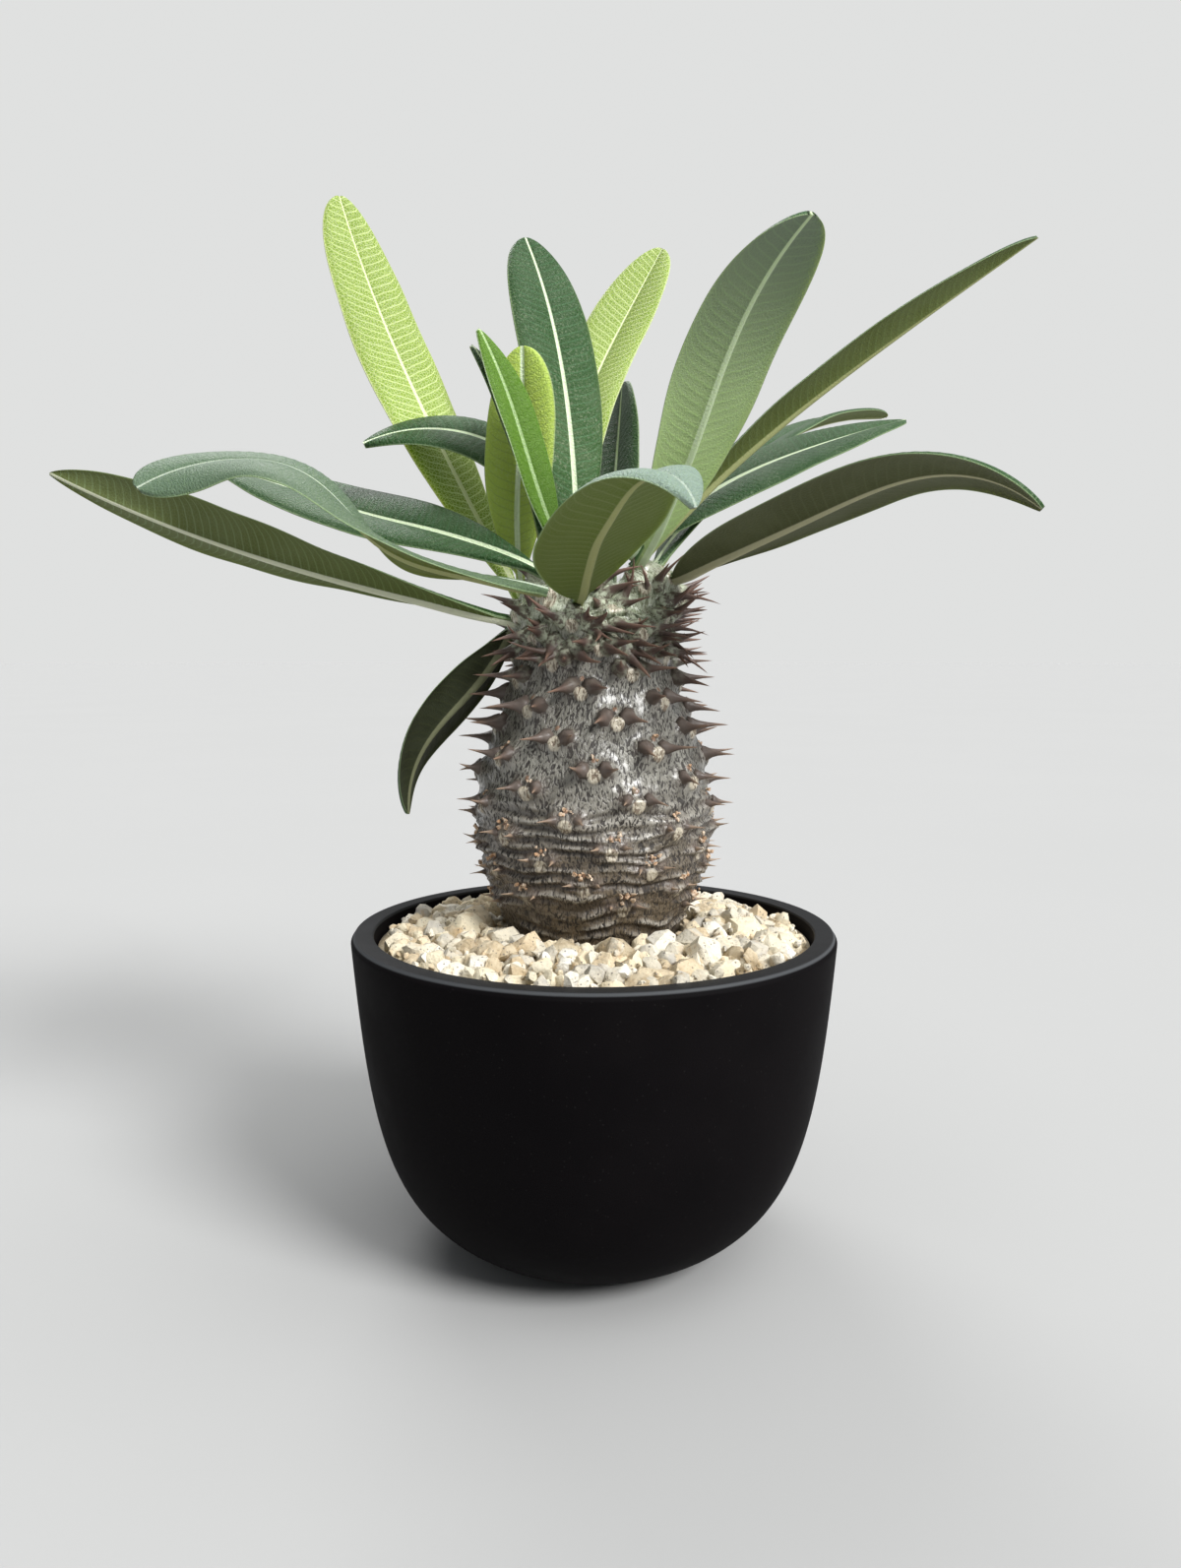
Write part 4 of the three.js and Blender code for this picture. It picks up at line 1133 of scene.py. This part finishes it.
# the wrinkles' grooves and ridges are kept for painted shade and painted highlights in the bark's colour
trunk = grid_piece("trunk", bark_grid, np.array([(0, 0, 37.6), top_pole]), {
    "scar": scar, "bud": bud, "stain": stain, "crown": crown_share, "wool": wool,
    "crease": np.clip(-wrinkle, 0, 1), "crest": np.clip(wrinkle, 0, 1),
    "bark_place": on_cylinder(arc[:, None]) * MM})
print("trunk faces:", len(trunk.data.polygons))

# %% [markdown]
# ## Bark finish
# The bark is a silvery skin that growth has torn into fine wavy stripes, with dark furrows between them. It is
# browner towards the foot, brown around each spine, pale on the leaf scars, orange on the buds and greenish
# where the crown is still growing. The stripes are noise that is stretched along the trunk, read from an
# attribute that unrolls the bark, so that they run up the trunk and over the crown without a seam. On the
# wrinkles near the foot, painted shade darkens the grooves and a painted highlight lightens the ridges.

# %% Bark finish
bark, shader, place = finish("silver_bark")
bark_place = attribute(shader, "bark_place", "Vector")
stretch = node(shader.id_data, "ShaderNodeMapping", Vector=bark_place, Scale=(1.0, 1.0, 0.5))
bent = grain(bark_place, 260.0, 2.0)
stripes = grain(stretch.outputs[0], 1350.0, 3.0, 0.5, 1.2)
stripe_mask = between(stripes, 0.41, 0.53)
marks = patches_and_specks(place, 90.0, 1400.0, 0.15)
silver = blended(marks["Patches"], (0.138, 0.129, 0.103), (0.295, 0.284, 0.242))
furrow = blended(bent, (0.016, 0.0125, 0.0095), (0.040, 0.033, 0.026))
old_skin = blended(stripe_mask, (0.016, 0.011, 0.007), (0.112, 0.080, 0.046))
crown_skin = blended(stripe_mask, (0.24, 0.27, 0.16), (0.54, 0.60, 0.44))
scar_skin = blended(stripe_mask, (0.20, 0.15, 0.10), (0.56, 0.50, 0.38))
skin = blended(stripe_mask, furrow, silver)
skin = over(skin, between(part(place, "Z"), 0.114, 0.084), 0.92, old_skin)
# painted shade in the wrinkle grooves, and a painted highlight on the wrinkle ridges
skin = over(skin, attribute(shader, "crease"), 0.65, (0.035, 0.024, 0.016))
skin = over(skin, attribute(shader, "crest"), times(stripe_mask, 0.46), (0.68, 0.65, 0.58))
skin = over(skin, attribute(shader, "crown"), 0.85, crown_skin)
skin = over(skin, attribute(shader, "stain"), 0.65, (0.12, 0.085, 0.065))
skin = blended(between(attribute(shader, "scar"), 0.25, 0.9, 0.0, 0.85), skin, scar_skin)
skin = blended(between(attribute(shader, "bud"), 0.2, 0.8, 0.0, 0.8), skin, (0.22, 0.11, 0.055))
polish = times(between(part(place, "Z"), 0.082, 0.112, 0.15, 1.0), between(stripe_mask, 0, 1, 0.2, 1.0))
supply(shader, Base_Color=skin, Roughness=between(stripe_mask, 0, 1, 0.62, 0.32), Specular_IOR_Level=0.65,
       Coat_Weight=polish, Coat_Roughness=0.30)
bumped(shader, plus(stripes, times(marks["Grain"], 0.35)), 0.9, 0.0005)
trunk.data.materials.append(bark)
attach(trunk, "root")
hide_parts("caudex")

# %% [markdown]
# ## Spines
# Spines stand in pairs on the tubercles: broad-based thorns with hollow flanks, worn short near the foot and
# long on the neck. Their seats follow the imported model, and so do their directions, though these lean a little
# less to the side. Geometry Nodes place one of a few bent thorns on each seat. A seat where a leaf stands in
# the way is left out.

# %% Where each spine sits
SPINE_SPLAY = 0.45
SPINE_LIFT = (0.02, 0.75)


def seeded(seed):
    """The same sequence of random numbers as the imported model's maker used"""
    state = [seed & 0xffffffff]

    def product(a, b):
        return (a * b) & 0xffffffff

    def draw():
        state[0] = (state[0] + 0x6d2b79f5) & 0xffffffff
        t = product(state[0] ^ (state[0] >> 15), 1 | state[0])
        t = ((t + product(t ^ (t >> 7), 61 | t)) & 0xffffffff) ^ t
        return (t ^ (t >> 14)) / 4294967296

    return draw


leaf_points, leaf_faces = [], []
for blade in blades:
    start = len(leaf_points)
    leaf_points += [v.co.copy() for v in blade.data.vertices]
    leaf_faces += [[start + i for i in face.vertices] for face in blade.data.polygons]
leaf_tree = BVHTree.FromPolygons(leaf_points, leaf_faces)


def in_a_leaf(foot, way, length, girth):
    for share in np.linspace(0, 1.05, 10):
        spot = Vector((foot + way * length * share) * MM)
        if leaf_tree.find_nearest(spot, (girth * (1 - share) + 0.5) * MM)[0] is not None:
            return True
    return False


def unit(way):
    return way / np.linalg.norm(way)


def spine_seats():
    draw = seeded(7)
    seats = []
    for middle, out in tubercles:
        length = mix(3.6, 8.8, float(smooth(middle[2], 90, 132)))
        girth = mix(0.75, 1.9, float(smooth(middle[2], 88, 126)))
        lift_share = float(smooth(middle[2], 138, 156))
        for hand in (-1, 1):
            splay = hand * (SPINE_SPLAY + 0.15 * (draw() - 0.5))
            up = mix(*SPINE_LIFT, lift_share) + 0.3 * (draw() - 0.5)
            way = unit(out + beside(out) * splay + UP * up)
            foot = leave_body(middle - 6 * out + beside(out) * hand * PAIR_SPREAD, out, False)
            reach = length * mix(0.85, 1.1, draw())
            if not in_a_leaf(foot, way, reach, girth):
                swell = mix(0.4, 1.6, fullness(middle[2]))
                foot = foot + out * (swell - tuck(foot[2]))
                seats.append((foot, way, reach - 0.3 * swell, girth * 1.08, len(seats) % 4))
    return seats


seats = spine_seats()
print("spines:", len(seats))

# %% Extra spines on the crown
CROWN_SPINES = 155
draw = seeded(23)
for k in range(CROWN_SPINES):
    on_shoot = k % 4 == 0
    height = mix(143, 154, draw()) if on_shoot else mix(135.5, 151, draw() ** 1.2)
    heart = np.array([SIDE_SHOOT[0][0], 1, height] if on_shoot else [-3, 1, height], float)
    flat = outward(GOLDEN_ANGLE * k + 25 * draw())
    foot = leave_body(heart, flat, False) - flat * tuck(height)
    sideways = beside(flat) * (draw() - 0.5) * 1.5
    youth = float(smooth(height, 138, 148))
    aim = unit(flat + sideways + UP * mix(mix(-0.6, -0.1, youth), mix(0.2, 1.0, youth), draw()))
    reach = mix(6.5, 11.0, draw())
    girth = mix(1.8, 2.9, draw())
    if not in_a_leaf(foot, aim, reach, 0.8 * girth):
        seats.append((foot, aim, reach, girth, 2 + k % 5))
print("with the crown's:", len(seats))

# %% Thorns to place
THORN_SIDES, THORN_TWIST, THORN_FLATNESS = 7, 0.4, 0.85
THORN_PROFILE = ((-0.16, 1.3), (0.0, 1.0), (0.09, 0.76), (0.21, 0.53), (0.40, 0.32), (0.66, 0.17), (0.88, 0.08))
THORN_BENDS = (0.0, 0.35, -0.45, 0.7, 1.2, 1.8, 2.4)


def tapered(name, profile, sides, bend, twist=0.0, flatness=1.0):
    """A point 1 unit long, bent sideways, from its radius at some heights"""
    rings = []
    for along, radius in profile:
        turns = [2 * math.pi * i / sides + twist * along for i in range(sides)]
        lean = bend * max(along, 0) ** 2
        rings.append([(radius * math.cos(t) + lean, flatness * radius * math.sin(t), along) for t in turns])
    mesh = skinned(name, [*rings, [(bend, 0, 1.0)]], capped=True)
    store(mesh, "reach", [max(v.co.z, 0) for v in mesh.vertices])
    return mesh


thorn_box = boxed("thorns", [
    tapered(f"thorn_{i}", THORN_PROFILE, THORN_SIDES, bend, THORN_TWIST, THORN_FLATNESS)
    for i, bend in enumerate(THORN_BENDS)])
print("thorn kinds:", len(THORN_BENDS))

# %% Spine finish
horn, shader, place = finish("brown_horn")
reach, age = attribute(shader, "reach"), attribute(shader, "age")
streak = grain(place, 900.0, 3.0, 0.6)
old_root = blended(streak, (0.055, 0.040, 0.032), (0.155, 0.122, 0.102))
young_root = blended(between(streak, 0.4, 0.6), (0.10, 0.085, 0.06), (0.42, 0.46, 0.34))
root = blended(between(age, 0.0, 0.3), young_root, old_root)
shaft = blended(between(age, 0.0, 0.5), (0.084, 0.052, 0.042), (0.12, 0.085, 0.068))
shaft = blended(between(age, 0.75, 1.0), shaft, (0.32, 0.23, 0.16))
tip = blended(age, (0.150, 0.080, 0.056), (0.36, 0.25, 0.17))
horn_colour = blended(between(reach, 0.05, 0.35), root, shaft)
horn_colour = blended(between(reach, 0.35, 0.85), horn_colour, tip)
supply(shader, Base_Color=horn_colour, Roughness=between(streak, 0.3, 0.7, 0.38, 0.6))
bumped(shader, streak, 0.5, 0.00015)


# %% Geometry Nodes: set the spines
def thorn_tree():
    tree, given, result = empty_tree("set_spines", Thickness="Float")
    wide = times(named(tree, "girth"), given["Thickness"])
    scale = node(tree, "ShaderNodeCombineXYZ", X=wide, Y=wide, Z=named(tree, "length")).outputs[0]
    roll = node(tree, "FunctionNodeAxisAngleToRotation", Axis=(0, 0, 1),
                Angle=chance(0.0, 6.28, given["Seed"], 1)).outputs[0]
    turn = node(tree, "FunctionNodeRotateRotation", {"rotation_space": "LOCAL"},
                Rotation=standing(named(tree, "aim", "FLOAT_VECTOR")), Rotate_By=roll).outputs[0]
    points = node(tree, "GeometryNodeMeshToPoints", Mesh=given["Geometry"]).outputs[0]
    return lay(given, result, points, turn, scale, index=named(tree, "kind", "INT"))


def seat_mesh(name, rows):
    """Loose vertices that carry how to place a thorn on each"""
    feet, aims, lengths, girths, kinds = (np.array(column) for column in zip(*rows))
    mesh = bpy.data.meshes.new(name)
    mesh.from_pydata([tuple(foot) for foot in feet * MM], [], [])
    store(mesh, "length", lengths * MM)
    store(mesh, "girth", girths * MM)
    store(mesh, "age", 1 - smooth(feet[:, 2], 86, 150))
    store(mesh, "aim", aims, "FLOAT_VECTOR")
    store(mesh, "kind", kinds, "INT")
    return mesh


set_spines = thorn_tree()
spines = grown("spines", seat_mesh("seats", seats), set_spines,
               {"Thickness": 0.95, "Seed": 4, "Kinds": thorn_box, "Finish": horn})
discard(thorn_box)
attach(spines, "root")
print("spine faces:", len(spines.data.polygons))

# %% [markdown]
# ## Dry buds on the old tubercles
# Where the trunk is oldest, the tubercles carry no fresh buds but dry, crumbling ones: little heaps of tan and
# orange scales above each scar. They are angular chips, so a few hulls of jittered points do, set in their
# places by the same tree that sets the spines.

# %% Dry bud finish
bud_scale, shader, place = finish("dry_bud")
marks = patches_and_specks(place, 700.0, 2500.0, 0.3)
scale_tone = blended(marks["Patches"], (0.40, 0.22, 0.11), (0.66, 0.55, 0.42))
supply(shader, Base_Color=blended(marks["Specks"], scale_tone, (0.16, 0.08, 0.04)), Roughness=0.8)
bumped(shader, marks["Grain"], 0.8, 0.0002)

# %% Set the dry buds
CHIP_KINDS, CHIP_POINTS = 4, 12
DRY_TOP, HEAP_TOP = 116, 103  # no dry buds above the one, and only a few scales each above the other
chip_box = boxed("chips", [stone_mesh(f"chip_{i}", CHIP_POINTS) for i in range(CHIP_KINDS)])
draw = seeded(31)
bud_seats = []
for middle, out in tubercles:
    if middle[2] > DRY_TOP or in_a_leaf(middle, out, 1.0, 0.5):
        continue
    count, spread = (2, 2.0) if middle[2] > HEAP_TOP else (7, 3.6)
    for _ in range(count):
        spot = middle + beside(out) * spread * (draw() - 0.5) + UP * mix(1.0, 3.0, draw())
        foot = leave_body(spot - 6 * out, out, False) + out * (mix(0.6, 1.2, draw()) - 0.9)
        aim = unit(out + beside(out) * (draw() - 0.5) + UP * (draw() - 0.5))
        size = mix(0.30, 0.72, draw())
        bud_seats.append((foot, aim, size * mix(0.6, 1.3, draw()), size, len(bud_seats) % CHIP_KINDS))
dry_buds = grown("dry_buds", seat_mesh("bud_seats", bud_seats), set_spines,
                 {"Thickness": 1.0, "Seed": 9, "Kinds": chip_box, "Finish": bud_scale})
discard(chip_box)
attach(dry_buds, "root")
print("bud scales:", len(bud_seats))

# %% [markdown]
# ## Wool on the crown
# The growing crown is clothed in short pale wool between its spines. Real hair particles don't leave Blender,
# so Geometry Nodes scatter thin three-sided strands over the crown, thickest where the skin is youngest.

# %% Strands and their finish
STRAND_PROFILE = ((0.0, 0.035), (0.35, 0.028), (0.7, 0.0175))
strand_box = boxed("strands", [tapered(f"strand_{i}", STRAND_PROFILE, 3, lean)
                               for i, lean in enumerate((0.2, 0.45, 0.7))])
fleece, shader, place = finish("pale_wool")
tuft = between(grain(place, 260.0, 3.0), 0.35, 0.65)
supply(shader, Base_Color=blended(tuft, (0.45, 0.52, 0.35), (0.78, 0.82, 0.68)), Roughness=0.8)


# %% Geometry Nodes: grow the wool
def wool_tree():
    tree, given, result = empty_tree("grow_wool", Density="Float", Length="Float")
    seed = given["Seed"]
    scatter = node(tree, "GeometryNodeDistributePointsOnFaces", {"distribute_method": "RANDOM"},
                   Mesh=given["Geometry"], Density=times(named(tree, "wool"), given["Density"]),
                   Seed=seed).outputs
    lean = chance((-0.9, -0.9, -0.5), (0.9, 0.9, 0.9), seed, 1, "FLOAT_VECTOR")
    adding = node(tree, "ShaderNodeVectorMath", {"operation": "ADD"})
    aim = in_turn(adding, (scatter["Normal"], lean))[0]
    size = times(chance(0.6, 1.3, seed, 2), given["Length"])
    return lay(given, result, scatter["Points"], standing(aim), size)


wool_piece = grown("crown_wool", trunk.data, wool_tree(),
                   {"Density": 1.5e6, "Length": 1.3 * MM, "Seed": 2, "Kinds": strand_box, "Finish": fleece})
discard(strand_box)
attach(wool_piece, "root")
print("wool faces:", len(wool_piece.data.polygons))
